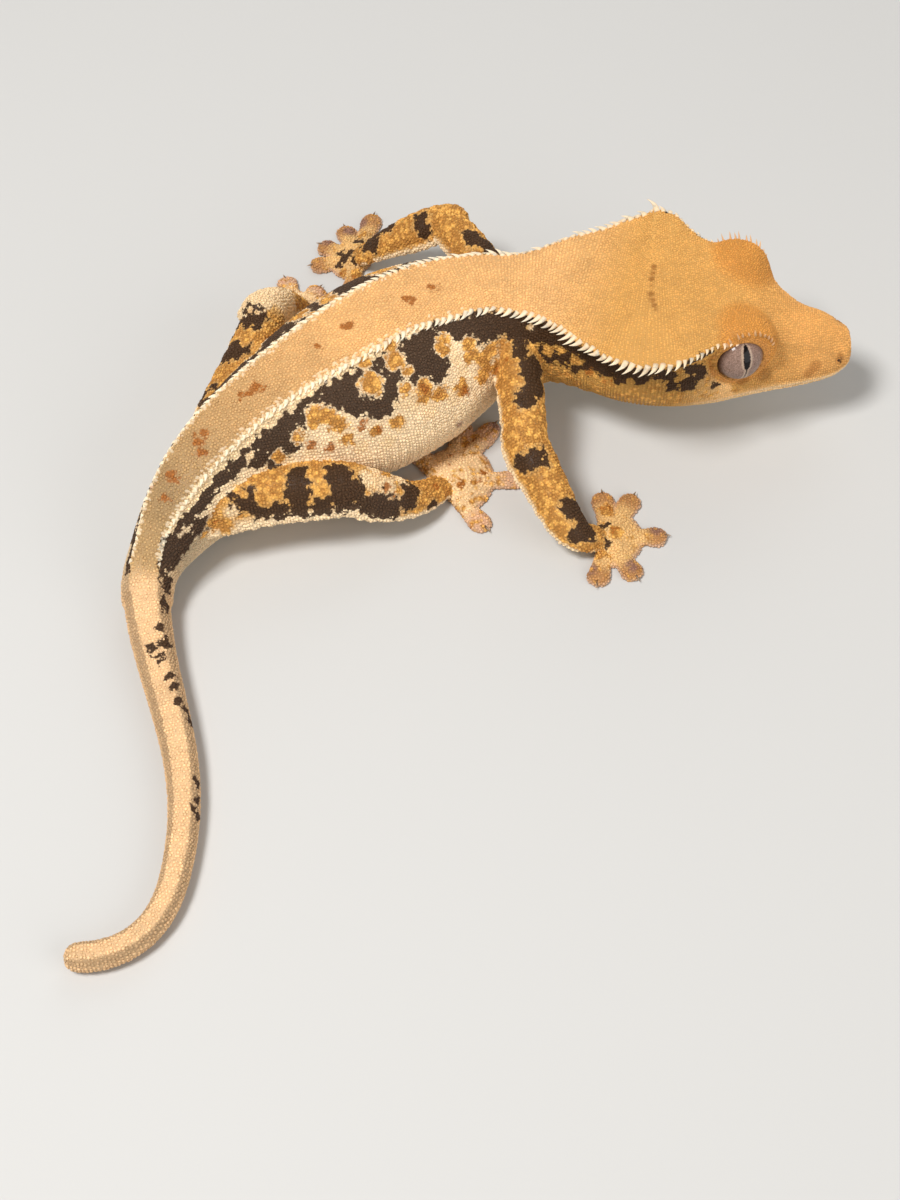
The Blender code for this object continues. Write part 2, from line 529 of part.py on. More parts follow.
def build_feet(gecko):
    """Hands and feet: palm, web, toes with pads and claws, all on one level."""
    for name, (palm, tips) in FEET.items():
        part, side = name.split("_")
        front = part == "hand"
        thing = add(name, skin(palm_rings(palm, tips)), gecko, SKIN)
        rows = LEGS[("forearm_" if front else "shin_") + side][-4:] + [(*palm, 0.8, 1.8, 0.9)]
        pieces = [skin(leg_rings(rows, 16, 1.6, None))]
        for tip in tips:
            ahead = unit(np.array(tip) - palm)
            foot = np.append(np.array(tip) - ahead * 0.5, 0.55)
            pieces.append(skin(toe_rings(palm, tip)))
            pieces.append(skin(cone_rings(foot, (*ahead, 0.25), (0, 0, -0.9), CLAW_LENGTH,
                                          CLAW_FOOT, 4)))
        combine(thing, pieces, "UNION")
        mesh = bmesh.new()
        mesh.from_mesh(thing.data)
        trim(mesh, ("wrist_" if front else "ankle_") + side, False)
        cut(mesh, (0, 0, 0), (0, 0, -1))
        keep_largest(mesh)
        mesh.to_mesh(thing.data)
        mesh.free()


def points_of(thing):
    """The points of an object's mesh as an array."""
    points = np.empty(len(thing.data.vertices) * 3)
    thing.data.vertices.foreach_get("co", points)
    return points.reshape(-1, 3)


def main():
    for thing in list(bpy.data.objects):
        bpy.data.objects.remove(thing)
    gecko = bpy.data.collections.new("crested_gecko")
    bpy.context.scene.collection.children.link(gecko)
    build_trunk(gecko)
    build_legs(gecko)
    build_feet(gecko)
    every = np.concatenate([points_of(thing) for thing in gecko.objects])
    low, high = every.min(axis=0), every.max(axis=0)
    middle = np.append((low + high)[:2] / 2, low[2])
    for thing in gecko.objects:
        points = (points_of(thing) - middle) * METRES
        thing.data.vertices.foreach_set("co", points.ravel())
        thing.data.update()


main()
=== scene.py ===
"""A crested gecko at life size, lying still: skin, scales, crest spines, lashes, eyes and claws.

The tables give real millimetres in the animal's own frame, X along the head and Z up from the
floor. Each surface is a function of two numbers, one along a part and one around it, and the
same functions carry the skin, its markings, the scales and the spines.
"""

import math

import bpy
import numpy as np
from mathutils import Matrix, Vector
from mathutils.bvhtree import BVHTree


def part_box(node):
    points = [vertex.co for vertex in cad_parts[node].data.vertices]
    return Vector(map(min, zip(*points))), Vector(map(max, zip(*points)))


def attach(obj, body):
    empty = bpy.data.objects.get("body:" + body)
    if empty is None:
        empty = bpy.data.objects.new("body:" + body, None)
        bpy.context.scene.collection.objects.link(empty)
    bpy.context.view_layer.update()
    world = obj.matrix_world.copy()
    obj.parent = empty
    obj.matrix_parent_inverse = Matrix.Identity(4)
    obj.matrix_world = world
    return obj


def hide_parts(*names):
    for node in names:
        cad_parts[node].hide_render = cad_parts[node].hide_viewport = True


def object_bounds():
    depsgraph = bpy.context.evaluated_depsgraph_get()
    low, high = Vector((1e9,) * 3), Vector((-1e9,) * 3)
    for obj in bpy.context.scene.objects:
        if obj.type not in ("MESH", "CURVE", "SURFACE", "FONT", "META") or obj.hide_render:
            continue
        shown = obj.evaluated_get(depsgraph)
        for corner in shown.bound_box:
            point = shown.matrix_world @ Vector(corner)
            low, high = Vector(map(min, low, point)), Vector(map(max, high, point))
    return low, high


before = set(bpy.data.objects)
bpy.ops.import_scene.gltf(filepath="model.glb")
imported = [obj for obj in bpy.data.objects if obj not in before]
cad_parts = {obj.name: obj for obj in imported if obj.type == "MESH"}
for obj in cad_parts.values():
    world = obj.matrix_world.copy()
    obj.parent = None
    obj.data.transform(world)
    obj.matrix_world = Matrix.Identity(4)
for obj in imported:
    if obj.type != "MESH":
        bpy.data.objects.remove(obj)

bl_info = {
    "name": "Crested gecko",
    "version": (1, 0, 0),
    "blender": (4, 5, 0),
    "location": "3D View > Sidebar > Gecko",
    "description": "Builds the looks of a life-size crested gecko around its solid parts",
    "category": "Object",
}

METRES = 0.001
CAD_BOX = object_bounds()
COAT = 0.12  # depth of the scales, by which the skin lies inside the solids

# The trunk, from the tip of the tail to the snout: place in plan and roll in degrees.
PATH = [
    (-43.1, -49.8, 0), (-42.7, -49.8, 0), (-41.6, -49.8, 0), (-38.9, -49.5, 0),
    (-35.8, -48.1, 0), (-33.3, -45.4, 0), (-31.8, -41.6, 0), (-31.1, -36.4, 0),
    (-31.1, -30.6, 0), (-32.0, -24.4, 0), (-33.7, -18.0, 0), (-35.7, -11.4, 0),
    (-37.2, -5.4, 0), (-37.7, -1.0, 0), (-36.8, 2.3, 0), (-34.8, 5.9, 0),
    (-31.0, 11.2, -2), (-26.0, 16.7, -2), (-19.3, 22.3, 1), (-13.1, 27.3, 2),
    (-7.7, 31.6, 2), (-2.3, 34.8, 3.5), (3.9, 36.8, 4), (9.5, 37.0, 4),
    (15.2, 36.4, 1.5), (20.1, 35.1, -1), (25.0, 33.9, -4), (29.2, 33.8, -4),
    (33.0, 33.9, -4), (37.0, 34.0, -4), (41.0, 33.8, -4), (45.0, 33.4, -4),
    (48.8, 33.1, -4), (51.1, 33.0, -4), (52.3, 32.9, -4), (52.7, 32.9, -4),
]
ROLL_HEIGHT = 13.0

# Tail, hips and chest at those places: half width, top, bottom, height of the widest
# level, and how far out the row of spines runs.
OVALS = [
    (0.02, 1.7, 1.66, 1.68, 0.01), (1.15, 2.7, 0.6, 1.65, 0.6), (1.7, 3.2, -0.05, 1.6, 1.0),
    (1.75, 3.35, -0.1, 1.6, 1.0), (1.7, 3.35, -0.1, 1.6, 1.0), (1.7, 3.4, -0.1, 1.6, 1.0),
    (1.75, 3.45, -0.1, 1.7, 1.0), (1.85, 3.6, -0.1, 1.7, 1.1), (1.97, 3.8, -0.1, 1.8, 1.1),
    (2.12, 4.1, -0.1, 1.9, 1.2), (2.3, 4.5, -0.1, 2.1, 1.3), (2.52, 5.0, -0.1, 2.3, 1.4),
    (2.8, 5.8, -0.1, 2.7, 1.6), (3.0, 7.3, 0.2, 3.6, 1.7), (3.4, 10.3, 1.2, 5.6, 1.7),
    (4.2, 13.8, 1.6, 7.6, 2.4), (5.6, 17.0, 1.0, 8.4, 3.1), (7.4, 18.8, 0.2, 8.2, 3.5),
    (10.5, 19.8, -0.4, 8.0, 4.1), (12.5, 20.1, -0.4, 7.8, 4.8), (12.9, 20.0, -0.3, 7.8, 5.0),
    (12.2, 19.5, 0.1, 8.2, 5.4), (10.0, 19.2, 1.4, 9.2, 5.2),
]

# Neck and head: half a section at each place, as (out, up) at seven named lines: middle of
# the back, shield, row of spines, below that row, widest, lower edge and middle of the throat.
HEADS = [
    ((0, 19.1), (3.0, 19.1), (5.7, 18.2), (7.6, 14.6), (8.4, 10.6), (5.7, 5.0), (0, 3.6)),
    ((0, 19.7), (4.2, 19.9), (8.4, 19.5), (8.0, 15.4), (8.2, 10.8), (5.5, 6.3), (0, 4.9)),
    ((0, 20.4), (5.6, 20.7), (11.2, 20.9), (9.1, 16.7), (9.5, 11.8), (6.4, 7.0), (0, 5.7)),
    ((0, 21.3), (6.4, 21.5), (13.0, 22.0), (10.0, 17.7), (10.5, 12.6), (7.2, 7.3), (0, 6.1)),
    ((0, 21.7), (5.8, 21.8), (11.9, 22.1), (9.8, 18.0), (10.4, 12.7), (7.7, 7.4), (0, 6.3)),
    ((0, 21.3), (4.4, 21.3), (8.8, 20.9), (8.5, 17.4), (9.7, 12.5), (7.5, 7.6), (0, 6.7)),
    ((0, 20.4), (3.8, 20.4), (7.5, 19.6), (7.6, 15.8), (8.7, 11.9), (6.9, 7.9), (0, 7.1)),
    ((0, 18.5), (2.8, 18.4), (5.2, 17.5), (6.1, 14.6), (7.5, 11.7), (6.1, 8.2), (0, 7.5)),
    ((0, 16.4), (2.0, 16.3), (3.6, 15.4), (4.9, 13.5), (6.2, 11.4), (5.1, 8.5), (0, 7.9)),
    ((0, 14.8), (1.6, 14.8), (2.9, 14.2), (4.2, 12.9), (4.9, 11.2), (4.0, 8.9), (0, 8.4)),
    ((0, 13.4), (1.2, 13.4), (2.2, 12.9), (3.2, 12.2), (3.7, 11.0), (3.0, 9.4), (0, 9.0)),
    ((0, 12.5), (0.9, 12.5), (1.6, 12.3), (2.1, 11.8), (2.4, 10.9), (1.9, 9.8), (0, 9.5)),
    ((0, 10.9),) * 7,
]

EYE = (36.6, 6.9, 17.0, 3.3)  # along the head, out, up, radius
EYE_AIM = (0.26, 0.93, 0.2)
BROW = (37.2, 6.0, 17.5)  # middle of the dome over an eye: along the head, out, up
BROW_SIZE = (4.4, 4.7, 4.8)  # its half sizes along the head, upward and outward
BROW_AIM, BROW_FACE = (0.2, 0.98, 0.0), 2.4  # which way its flat face looks, and how far out it is
NOSTRIL, EAR = (32.74, 3.1), (25.52, 3.55)  # place along the trunk and line

# Legs: centre of the section, half width and half height, from inside the body outwards.
LEGS = {
    "upper_arm_right": [
        (8.6, 33.0, 13.2, 2.7, 3.0), (9.2, 26.8, 12.5, 2.8, 3.0), (9.6, 21.6, 11.0, 2.7, 2.8),
        (9.9, 18.4, 9.7, 2.6, 2.6), (10.1, 16.4, 8.9, 2.1, 2.1), (10.2, 15.0, 8.4, 0.7, 0.7),
    ],
    "forearm_right": [
        (7.9, 21.2, 11.4, 0.7, 0.7), (8.7, 19.7, 10.6, 2.2, 2.1), (10.3, 16.8, 9.0, 2.8, 2.6),
        (12.5, 13.0, 6.8, 2.6, 2.5), (14.6, 9.3, 4.8, 2.4, 2.1), (16.5, 8.0, 3.1, 2.2, 1.7),
        (18.6, 8.6, 1.7, 2.0, 1.3), (20.3, 9.4, 0.9, 1.8, 0.9),
    ],
    "upper_arm_left": [
        (7.4, 39.5, 12.2, 2.7, 3.0), (6.0, 43.5, 12.2, 2.8, 3.0), (3.6, 48.2, 12.2, 2.6, 2.8),
        (1.4, 52.4, 11.8, 2.5, 2.6), (-0.5, 55.5, 11.2, 2.4, 2.4), (-1.6, 57.0, 10.9, 1.9, 1.9),
        (-2.3, 57.9, 10.7, 0.7, 0.7),
    ],
    "forearm_left": [
        (2.4, 55.0, 12.7, 0.7, 0.7), (1.0, 55.3, 12.2, 2.1, 2.0), (-1.8, 55.9, 10.8, 2.6, 2.4),
        (-5.0, 56.5, 8.6, 2.6, 2.4), (-7.8, 57.1, 6.4, 2.3, 2.1), (-10.2, 57.8, 4.2, 2.1, 1.7),
        (-12.4, 58.6, 2.0, 1.9, 1.3), (-13.4, 59.2, 0.9, 1.8, 0.9),
    ],
    "thigh_right": [
        (-32.5, 12.8, 9.0, 3.2, 3.6), (-30.6, 8.9, 8.6, 3.4, 3.9), (-26.0, 9.7, 8.7, 3.3, 3.8),
        (-21.0, 10.5, 9.0, 3.3, 3.6), (-16.5, 10.8, 9.2, 3.2, 3.5), (-13.0, 11.2, 9.1, 3.0, 3.2),
        (-10.6, 11.4, 8.8, 2.3, 2.4), (-9.2, 11.5, 8.5, 0.8, 0.8),
    ],
    "shin_right": [
        (-16.2, 10.8, 10.4, 0.8, 0.8), (-14.8, 11.0, 9.8, 2.4, 2.5), (-11.6, 11.4, 8.2, 3.0, 3.1),
        (-8.2, 11.9, 6.3, 2.8, 2.8), (-5.4, 12.9, 4.4, 2.4, 2.2), (-3.2, 14.8, 2.8, 2.2, 1.7),
        (-1.6, 16.8, 1.6, 2.0, 1.3), (-0.9, 18.4, 0.8, 1.8, 0.9),
    ],
    "thigh_left": [
        (-29.6, 13.5, 9.8, 3.0, 3.4), (-30.2, 18.4, 10.4, 3.1, 3.6), (-28.6, 23.8, 10.9, 3.1, 3.5),
        (-26.6, 29.2, 11.7, 3.0, 3.3), (-24.8, 34.6, 12.5, 2.9, 3.0), (-23.9, 37.8, 12.8, 2.3, 2.4),
        (-23.3, 39.3, 12.9, 0.8, 0.8),
    ],
    "shin_left": [
        (-26.0, 34.6, 15.0, 0.8, 0.8), (-25.4, 35.8, 14.2, 2.3, 2.4), (-24.3, 38.6, 12.0, 2.8, 2.8),
        (-23.3, 42.0, 9.0, 2.6, 2.6), (-22.5, 45.0, 6.0, 2.3, 2.2), (-21.9, 47.2, 3.7, 2.1, 1.7),
        (-21.4, 49.0, 1.8, 1.9, 1.3), (-21.2, 49.4, 0.9, 1.8, 0.9),
    ],
}
FRINGE = 1.1  # how far the fold of skin stands out along the back of the legs

# Feet: where the palm is, then the tip of each toe.
FEET = {
    "hand_right": ((20.3, 9.4), [(18.6, 1.9), (23.9, 2.9), (28.1, 9.8), (24.2, 16.6), (19.9, 17.0)]),
    "hand_left": ((-13.4, 59.2), [(-11.0, 68.5), (-15.4, 66.0), (-18.9, 62.3), (-20.0, 58.0),
                                  (-13.8, 52.8)]),
    "foot_right": ((-0.9, 18.4), [(4.9, 10.7), (10.4, 19.3), (6.3, 28.9), (2.2, 29.0), (-4.9, 24.5)]),
    "foot_left": ((-21.2, 49.4), [(-16.6, 43.6), (-14.0, 48.4), (-18.3, 53.9), (-23.6, 55.8),
                                  (-27.8, 52.2)]),
}
PALM_HEIGHT, WEB_SHARE = 2.3, 0.6
TOE_HALF, TOE_HEIGHT = 1.15, 1.35




def curve(rows, t):
    """Catmull-Rom through the rows, with t counted in rows."""
    rows = np.asarray(rows, float)
    rows = np.concatenate([2 * rows[:1] - rows[1:2], rows, 2 * rows[-1:] - rows[-2:-1]])
    t = np.clip(np.asarray(t, float), 0, len(rows) - 3)
    i = np.minimum(t.astype(int), len(rows) - 4)
    f = (t - i).reshape(t.shape + (1,) * (rows.ndim - 1))
    a, b, c, d = rows[i], rows[i + 1], rows[i + 2], rows[i + 3]
    return b + f / 2 * (c - a + f * (2 * a - 5 * b + 4 * c - d + f * (3 * (b - c) + d - a)))


def unit(vectors):
    """The vectors at length one."""
    return vectors / np.maximum(np.linalg.norm(vectors, axis=-1, keepdims=True), 1e-9)


def rise(x, low, high):
    """0 below low, 1 above high and a smooth S between them; it falls where low is above high."""
    x = np.clip((x - low) / (high - low), 0, 1)
    return x * x * (3 - 2 * x)


def bump(x, middle, half):
    """A smooth hill of height 1 about the middle, gone at half on each side."""
    return rise(np.abs(x - middle), half, 0)


def oval(half, top, bottom, wide, row):
    """The seven points of half a section: an oval, flatter on the back and squarer below."""
    def up(out):
        return wide + (top - wide) * (1 - (out / half) ** 2.2) ** (1 / 2.2)
    flank = 0.5 * (row + half) + 0.06 * half
    low = 0.7 * half
    return ((0, top), (0.52 * row, (up(0.52 * row) + top) / 2), (row, (up(row) + top) / 2),
            (flank, up(flank)), (half, wide), (low, wide - (wide - bottom) * 0.8), (0, bottom))


SECTIONS = np.array([oval(*o) for o in OVALS] + [list(h) for h in HEADS], float)
ROWS = len(PATH) - 1
RUN = np.concatenate([[0], np.cumsum(np.linalg.norm(np.diff(
    curve(PATH, np.linspace(0, ROWS, 1401))[:, :2], axis=0), axis=1))])


def run_at(t):
    """Millimetres along the trunk from the tip of the tail to a place on PATH."""
    return np.interp(t, np.linspace(0, ROWS, 1401), RUN)


def place_at(run):
    """The place on PATH after so many millimetres."""
    return np.interp(run, RUN, np.linspace(0, ROWS, 1401))


def relief(t, v):
    """Folds and hollows of the trunk's skin in millimetres, outwards.

    It adds a ridge under the spines, upright folds on the flanks and neck, the collar where the
    tail begins, the lips and the line of the mouth, the nostrils and the ear openings.
    """
    t, w = t[:, None], np.minimum(v, 12 - v)[None, :]
    run = run_at(t)
    ridge = 0.3 * bump(w, 2, 0.22) * rise(t, 13, 15) * rise(t, 31.5, 30)
    flank = rise(w, 3.2, 3.9) * rise(w, 5.4, 4.8) * rise(t, 14.5, 16.5) * rise(t, 23, 21.5)
    folds = 0.11 * flank * np.sin(2 * math.pi * (run / 1.45 + 0.25 * np.sin(2.3 * w + 0.3 * run)))
    neck = rise(w, 2.3, 3) * rise(w, 5.8, 5) * rise(t, 22, 23) * rise(t, 25.6, 24.6)
    folds = folds + 0.13 * neck * np.sin(2 * math.pi * (run / 2.3 - 0.35 * w))
    collar = 0.32 * rise(t, 12.5, 12.62) * rise(t, 14.4, 12.9)
    shut = rise(t, 27.4, 28.4) * rise(t, 35, 34.3)
    lips = shut * (0.14 * bump(w, 4.34, 0.17) + 0.14 * bump(w, 4.68, 0.2) - 0.4 * bump(w, 4.5, 0.07))
    nostril = -0.55 * rise(np.hypot((t - NOSTRIL[0]) / 0.24, (w - NOSTRIL[1]) / 0.36), 1, 0.35)
    rim = 0.12 * bump(np.hypot((t - NOSTRIL[0]) / 0.24, (w - NOSTRIL[1]) / 0.36), 1.15, 0.5)
    ear = -0.6 * rise(np.hypot((t - EAR[0]) / 0.13, (w - EAR[1]) / 0.27), 1, 0.4)
    jaw = 0.25 * bump(w, 4.25, 0.5) * rise(t, 24.6, 25.8) * rise(t, 30, 27.5)
    return ridge + folds + collar + lips + nostril + rim + ear + jaw


def trunk(t, v, grow=-COAT):
    """Points of tail, body, neck and head at places t and lines v, 0 to 12 around from the back.

    A Catmull-Rom curve through the named points of each section is moved out by the relief,
    turned by the roll and set square to the path; nothing goes below the floor.
    """
    t, v = np.atleast_1d(np.asarray(t, float)), np.atleast_1d(np.asarray(v, float)) % 12
    half = curve(SECTIONS, t)
    ring = np.concatenate([half, half[:, 5:0:-1] * (-1, 1)], axis=1)
    i = v.astype(int)
    f = (v - i)[None, :, None]
    a, b, c, d = (ring[:, (i + k) % 12] for k in (-1, 0, 1, 2))
    points = b + f / 2 * (c - a + f * (2 * a - 5 * b + 4 * c - d + f * (3 * (b - c) + d - a)))
    along = (c - a) * (1 - f) + (d - b) * f
    thin = np.clip(np.linalg.norm(half[:, 4] - half[:, 0], axis=1), 0, 1)[:, None]
    points = points + unit(along[..., ::-1] * (-1, 1)) * (thin * (grow + relief(t, v)))[..., None]
    return place(t[:, None], points[..., 0], points[..., 1])


def place(t, out, up):
    """Points from places along the trunk, distances out to the left and heights."""
    t = np.asarray(t, float) + 0 * out
    here = curve(PATH, t)
    roll = np.radians(here[..., 2])
    ahead = unit((curve(PATH, t + 0.02) - curve(PATH, t - 0.02))[..., :2])
    left = np.stack([-ahead[..., 1], ahead[..., 0]], axis=-1)
    side = out * np.cos(roll) + (up - ROLL_HEIGHT) * np.sin(roll)
    height = ROLL_HEIGHT + (up - ROLL_HEIGHT) * np.cos(roll) - out * np.sin(roll)
    flat = here[..., :2] + left * side[..., None]
    return np.concatenate([flat, np.maximum(height, 0)[..., None]], axis=-1)


def leg(name, t, v, grow=-COAT):
    """Points of one length of a leg at rows t and shares v of a turn around it.

    Ovals stand square to the leg's own path; a fold of skin stands out along its back edge, and
    shallow creases run round it.
    """
    rows = np.array(LEGS[name], float)
    here = curve(rows, t)
    ahead = unit((curve(rows, t + 0.05) - curve(rows, t - 0.05))[:, :3])
    side = unit(np.cross((0, 0, 1), ahead))
    over = np.cross(ahead, side)
    turn = 2 * math.pi * v
    edge = 9 / 16 if name.endswith("right") else 15 / 16
    run = 2.6 * t[:, None]
    fold = FRINGE * np.clip(here[:, 3:4] - 1.9, 0, 1) * bump(v, edge, 0.075)
    fold = fold * (0.9 + 0.1 * np.sin(2 * math.pi * run / 0.9))
    crease = 0.07 * np.sin(2 * math.pi * (run / 1.25 + 0.3 * np.sin(turn)))
    out = grow + fold + crease
    across = side[:, None] * ((here[:, 3:4] + out) * np.cos(turn))[..., None]
    upward = over[:, None] * ((here[:, 4:5] + out) * np.sin(turn))[..., None]
    points = here[:, None, :3] + across + upward
    points[..., 2] = np.maximum(points[..., 2], 0)
    return points


def toe(palm, tip, s, v, grow=-COAT / 2):
    """Points of one toe at shares s of its length and v of a turn, flat below.

    Half width and height follow s, wide and low at the pad; the section is an ellipse, squared a
    little, cut off at the floor.
    """
    palm, tip = np.array(palm, float), np.array(tip, float)
    length = np.linalg.norm(tip - palm)
    ahead = (tip - palm) / length
    side = np.array([-ahead[1], ahead[0]])
    marks = [0, 0.4, 0.58, 0.72, 0.84, 0.93, 0.98, 1.0]
    half = TOE_HALF * np.interp(s, marks, [1.0, 1.0, 1.1, 1.35, 1.42, 1.15, 0.65, 0.02])
    high = TOE_HEIGHT * np.interp(s, marks, [1.15, 1.0, 0.9, 0.82, 0.78, 0.66, 0.45, 0.02])
    knuckle = 0.05 * np.sin(2 * math.pi * s * length / 0.95) * rise(s, 0.95, 0.8)
    turn = 2 * math.pi * v
    across = np.sign(np.cos(turn)) * np.abs(np.cos(turn)) ** 0.9
    out = np.maximum(half + grow, 0.02)[:, None] * across
    up = np.maximum(high + grow + knuckle, 0.02)[:, None] * np.sin(turn)
    flat = palm + ahead * (s * length)[:, None]
    flat = flat[:, None] + side * out[..., None]
    return np.concatenate([flat, np.maximum(up, 0)[..., None]], axis=2)


def palm(name, s, v, grow=-COAT / 2):
    """Points of a palm and its web at shares s from rim to middle and v of a turn.

    The rim reaches a fixed share of each toe's length and dips between the toes; the height
    follows s from a thin web to the dome.
    """
    at, tips = np.array(FEET[name][0], float), np.array(FEET[name][1], float)
    reach = tips - at
    middle = reach.mean(axis=0)
    base = math.atan2(middle[1], middle[0])
    angles = (np.arctan2(reach[:, 1], reach[:, 0]) - base + math.pi) % (2 * math.pi) - math.pi
    order = np.argsort(angles)
    far = np.linalg.norm(reach, axis=1)[order] * WEB_SHARE
    turn = 2 * math.pi * v - math.pi
    radius = np.maximum(2.2, np.interp(turn, angles[order], far, left=0, right=0))
    plan = np.stack([np.cos(turn + base), np.sin(turn + base)], axis=1) * radius[:, None]
    share = np.interp(s, [0, 0.15, 0.5, 1], [1, 1, 0.55, 0.02])
    height = np.interp(s, [0, 0.15, 0.4, 0.7, 1], [0, 0.35, 1.15, 1.95, PALM_HEIGHT]) + grow * (s > 0.1)
    flat = at + share[:, None, None] * plan
    return np.concatenate([flat, np.broadcast_to(np.maximum(height, 0)[:, None, None],
                                                 flat.shape[:2] + (1,))], axis=2)


def beside(along, out, up, way):
    """A point of the head given along it, out and up, on the left where way is 1."""
    at = np.interp(along, [row[0] for row in PATH[22:]], range(22, len(PATH)))
    return place(np.array(at), np.array(way * out), np.array(up))


def eye_centre(way):
    """Centre of the left eye, where way is 1, or of the right one, where it is -1."""
    return beside(*EYE[:3], way)


def eye_aim(way):
    """The way an eye looks out of the head."""
    return unit(np.array((EYE_AIM[0], way * EYE_AIM[1], EYE_AIM[2])))


# The animal's own frame has its middle elsewhere than the solids' frame; the right eye ties them.
MIDDLE = eye_centre(-1) - np.mean(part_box("eye_right"), axis=0) / METRES


def axes(aim):
    """Two directions square to each row of aim, the first one as level as can be."""
    aim = np.atleast_2d(aim)
    level = np.cross((0, 0, 1), aim)
    level = unit(np.where(np.linalg.norm(level, axis=1, keepdims=True) < 1e-6, (1, 0, 0), level))
    return level, np.cross(aim, level)


def tube_faces(rings, around):
    """Quads between closed rings of points, and a fan of triangles from a point past each end."""
    k = np.arange(rings * around).reshape(rings, around)
    a, b = k[:-1], np.roll(k, -1, axis=1)[:-1]
    c, d = np.roll(k, -1, axis=1)[1:], k[1:]
    quads = np.stack([a, b, c, d], axis=-1).reshape(-1, 4)
    first, last = rings * around, rings * around + 1
    caps = [np.stack([np.full(around, first), np.roll(k[0], -1), k[0]], axis=1),
            np.stack([np.full(around, last), k[-1], np.roll(k[-1], -1)], axis=1)]
    return quads, np.concatenate(caps)


def closed(grid):
    """Points and faces of a closed form from rings of points, facing out by its volume's sign."""
    rings, around = grid.shape[:2]
    points = np.concatenate([grid.reshape(-1, 3), grid[:1].mean(axis=1), grid[-1:].mean(axis=1)])
    quads, fans = tube_faces(rings, around)
    corners = points[np.concatenate([quads[:, :3], quads[:, (0, 2, 3)], fans])]
    size = np.einsum("ij,ij->i", corners[:, 0], np.cross(corners[:, 1], corners[:, 2])).sum()
    if size < 0:
        quads, fans = quads[:, ::-1], fans[:, ::-1]
    return points, [quads, fans]


def joined(forms):
    """Many closed forms as one list of points and one list of faces for each number of sides."""
    points, faces, start = [], {}, 0
    for mine, rows in forms:
        points.append(mine)
        for part in rows:
            faces.setdefault(part.shape[1], []).append(part + start)
        start += len(mine)
    return np.concatenate(points), [np.concatenate(rows) for rows in faces.values()]


def repeated(form, rows, across, over, out, size):
    """One small form, given as points and faces, set down many times.

    Each copy's points are foot + size times (x across + y over + z out), worked out as one array.
    """
    points, faces = form
    made = rows[:, None] + size[:, None, None] * (
        points[None, :, :1] * across[:, None] + points[None, :, 1:2] * over[:, None]
        + points[None, :, 2:] * out[:, None])
    step = (np.arange(len(rows)) * len(points))[:, None, None]
    return made.reshape(-1, 3), [(part[None] + step).reshape(-1, part.shape[1]) for part in faces]


def mesh_of(name, points, faces):
    """A mesh from points in millimetres and lists of faces, put in as whole arrays."""
    mesh = bpy.data.meshes.new(name)
    loops = np.concatenate([part.ravel() for part in faces])
    sides = np.concatenate([np.full(len(part), part.shape[1]) for part in faces])
    mesh.vertices.add(len(points))
    mesh.vertices.foreach_set("co", np.clip((points - MIDDLE) * METRES, *CAD_BOX).ravel())
    mesh.loops.add(len(loops))
    mesh.loops.foreach_set("vertex_index", loops.astype(np.int32))
    mesh.polygons.add(len(sides))
    mesh.polygons.foreach_set("loop_start", (np.cumsum(sides) - sides).astype(np.int32))
    mesh.polygons.foreach_set("use_smooth", np.ones(len(sides), bool))
    mesh.update(calc_edges=True)
    mesh.validate()
    return mesh


def piece(name, mesh, material, nodes=()):
    """The mesh as a finished object that rides on the model and stands for the solids named."""
    mesh.materials.clear()
    mesh.materials.append(material)
    thing = bpy.data.objects.new(name, mesh)
    bpy.context.scene.collection.objects.link(thing)
    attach(thing, "root")
    if nodes:
        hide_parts(*nodes)
    return thing


def points_of(mesh):
    """The points of a mesh in millimetres."""
    points = np.empty(len(mesh.vertices) * 3, np.float32)
    mesh.vertices.foreach_get("co", points)
    return points.reshape(-1, 3).astype(float) / METRES + MIDDLE


def give(mesh, name, values):
    """Puts three numbers for each point on the mesh under a name that the materials read."""
    layer = mesh.attributes.new(name, "FLOAT_VECTOR", "POINT")
    layer.data.foreach_set("vector", np.ascontiguousarray(values, np.float32).ravel())


LIMBS = sorted(LEGS)
TRUNK_LINES, LEG_LINES, TOE_LINES = 144, 48, 24
BROW_SOFT = 2.2  # width of the hollow round the foot of a brow


def lofts():
    """Grids for every part under the skin: its kind, its rows, its lines and its points.

    Kinds are trunk, the name of a leg's length, the name of a foot and the number of a toe.
    """
    t = place_at(np.linspace(0, RUN[-1], 520))
    v = np.arange(TRUNK_LINES) * 12 / TRUNK_LINES
    grids = [("trunk", t, v, trunk(t, v))]
    v = np.arange(LEG_LINES) / LEG_LINES
    for name in LIMBS:
        t = np.linspace(0, len(LEGS[name]) - 1, 72)
        grids.append((name, t, v, leg(name, t, v)))
    for name, (middle, tips) in FEET.items():
        s, turn = np.linspace(0, 1, 14), np.arange(96) / 96
        grids.append((name, s, turn, palm(name, s, turn)))
        turn = np.arange(TOE_LINES) / TOE_LINES
        for k, tip in enumerate(tips):
            s = np.linspace(0, 1, 36)
            grids.append((f"{name}_{k}", s, turn, toe(middle, tip, s, turn)))
    return grids


def brow_frame(way):
    """Middle of the dome over an eye, and the ways level, up and out of its flat face."""
    aim = unit(np.array((BROW_AIM[0], way * BROW_AIM[1], BROW_AIM[2])))
    level, upward = (rows[0] for rows in axes(aim))
    return beside(*BROW, way), np.array([level, upward, aim])


def past_brow(points, way):
    """Millimetres from the dome over an eye, negative inside it, and the height over its middle."""
    middle, turn = brow_frame(way)
    local = (points - middle) @ turn.T
    far = np.maximum(np.linalg.norm(local / BROW_SIZE, axis=-1), 1e-6)
    return np.linalg.norm(local, axis=-1) * (1 - 1 / far), local[..., 2]


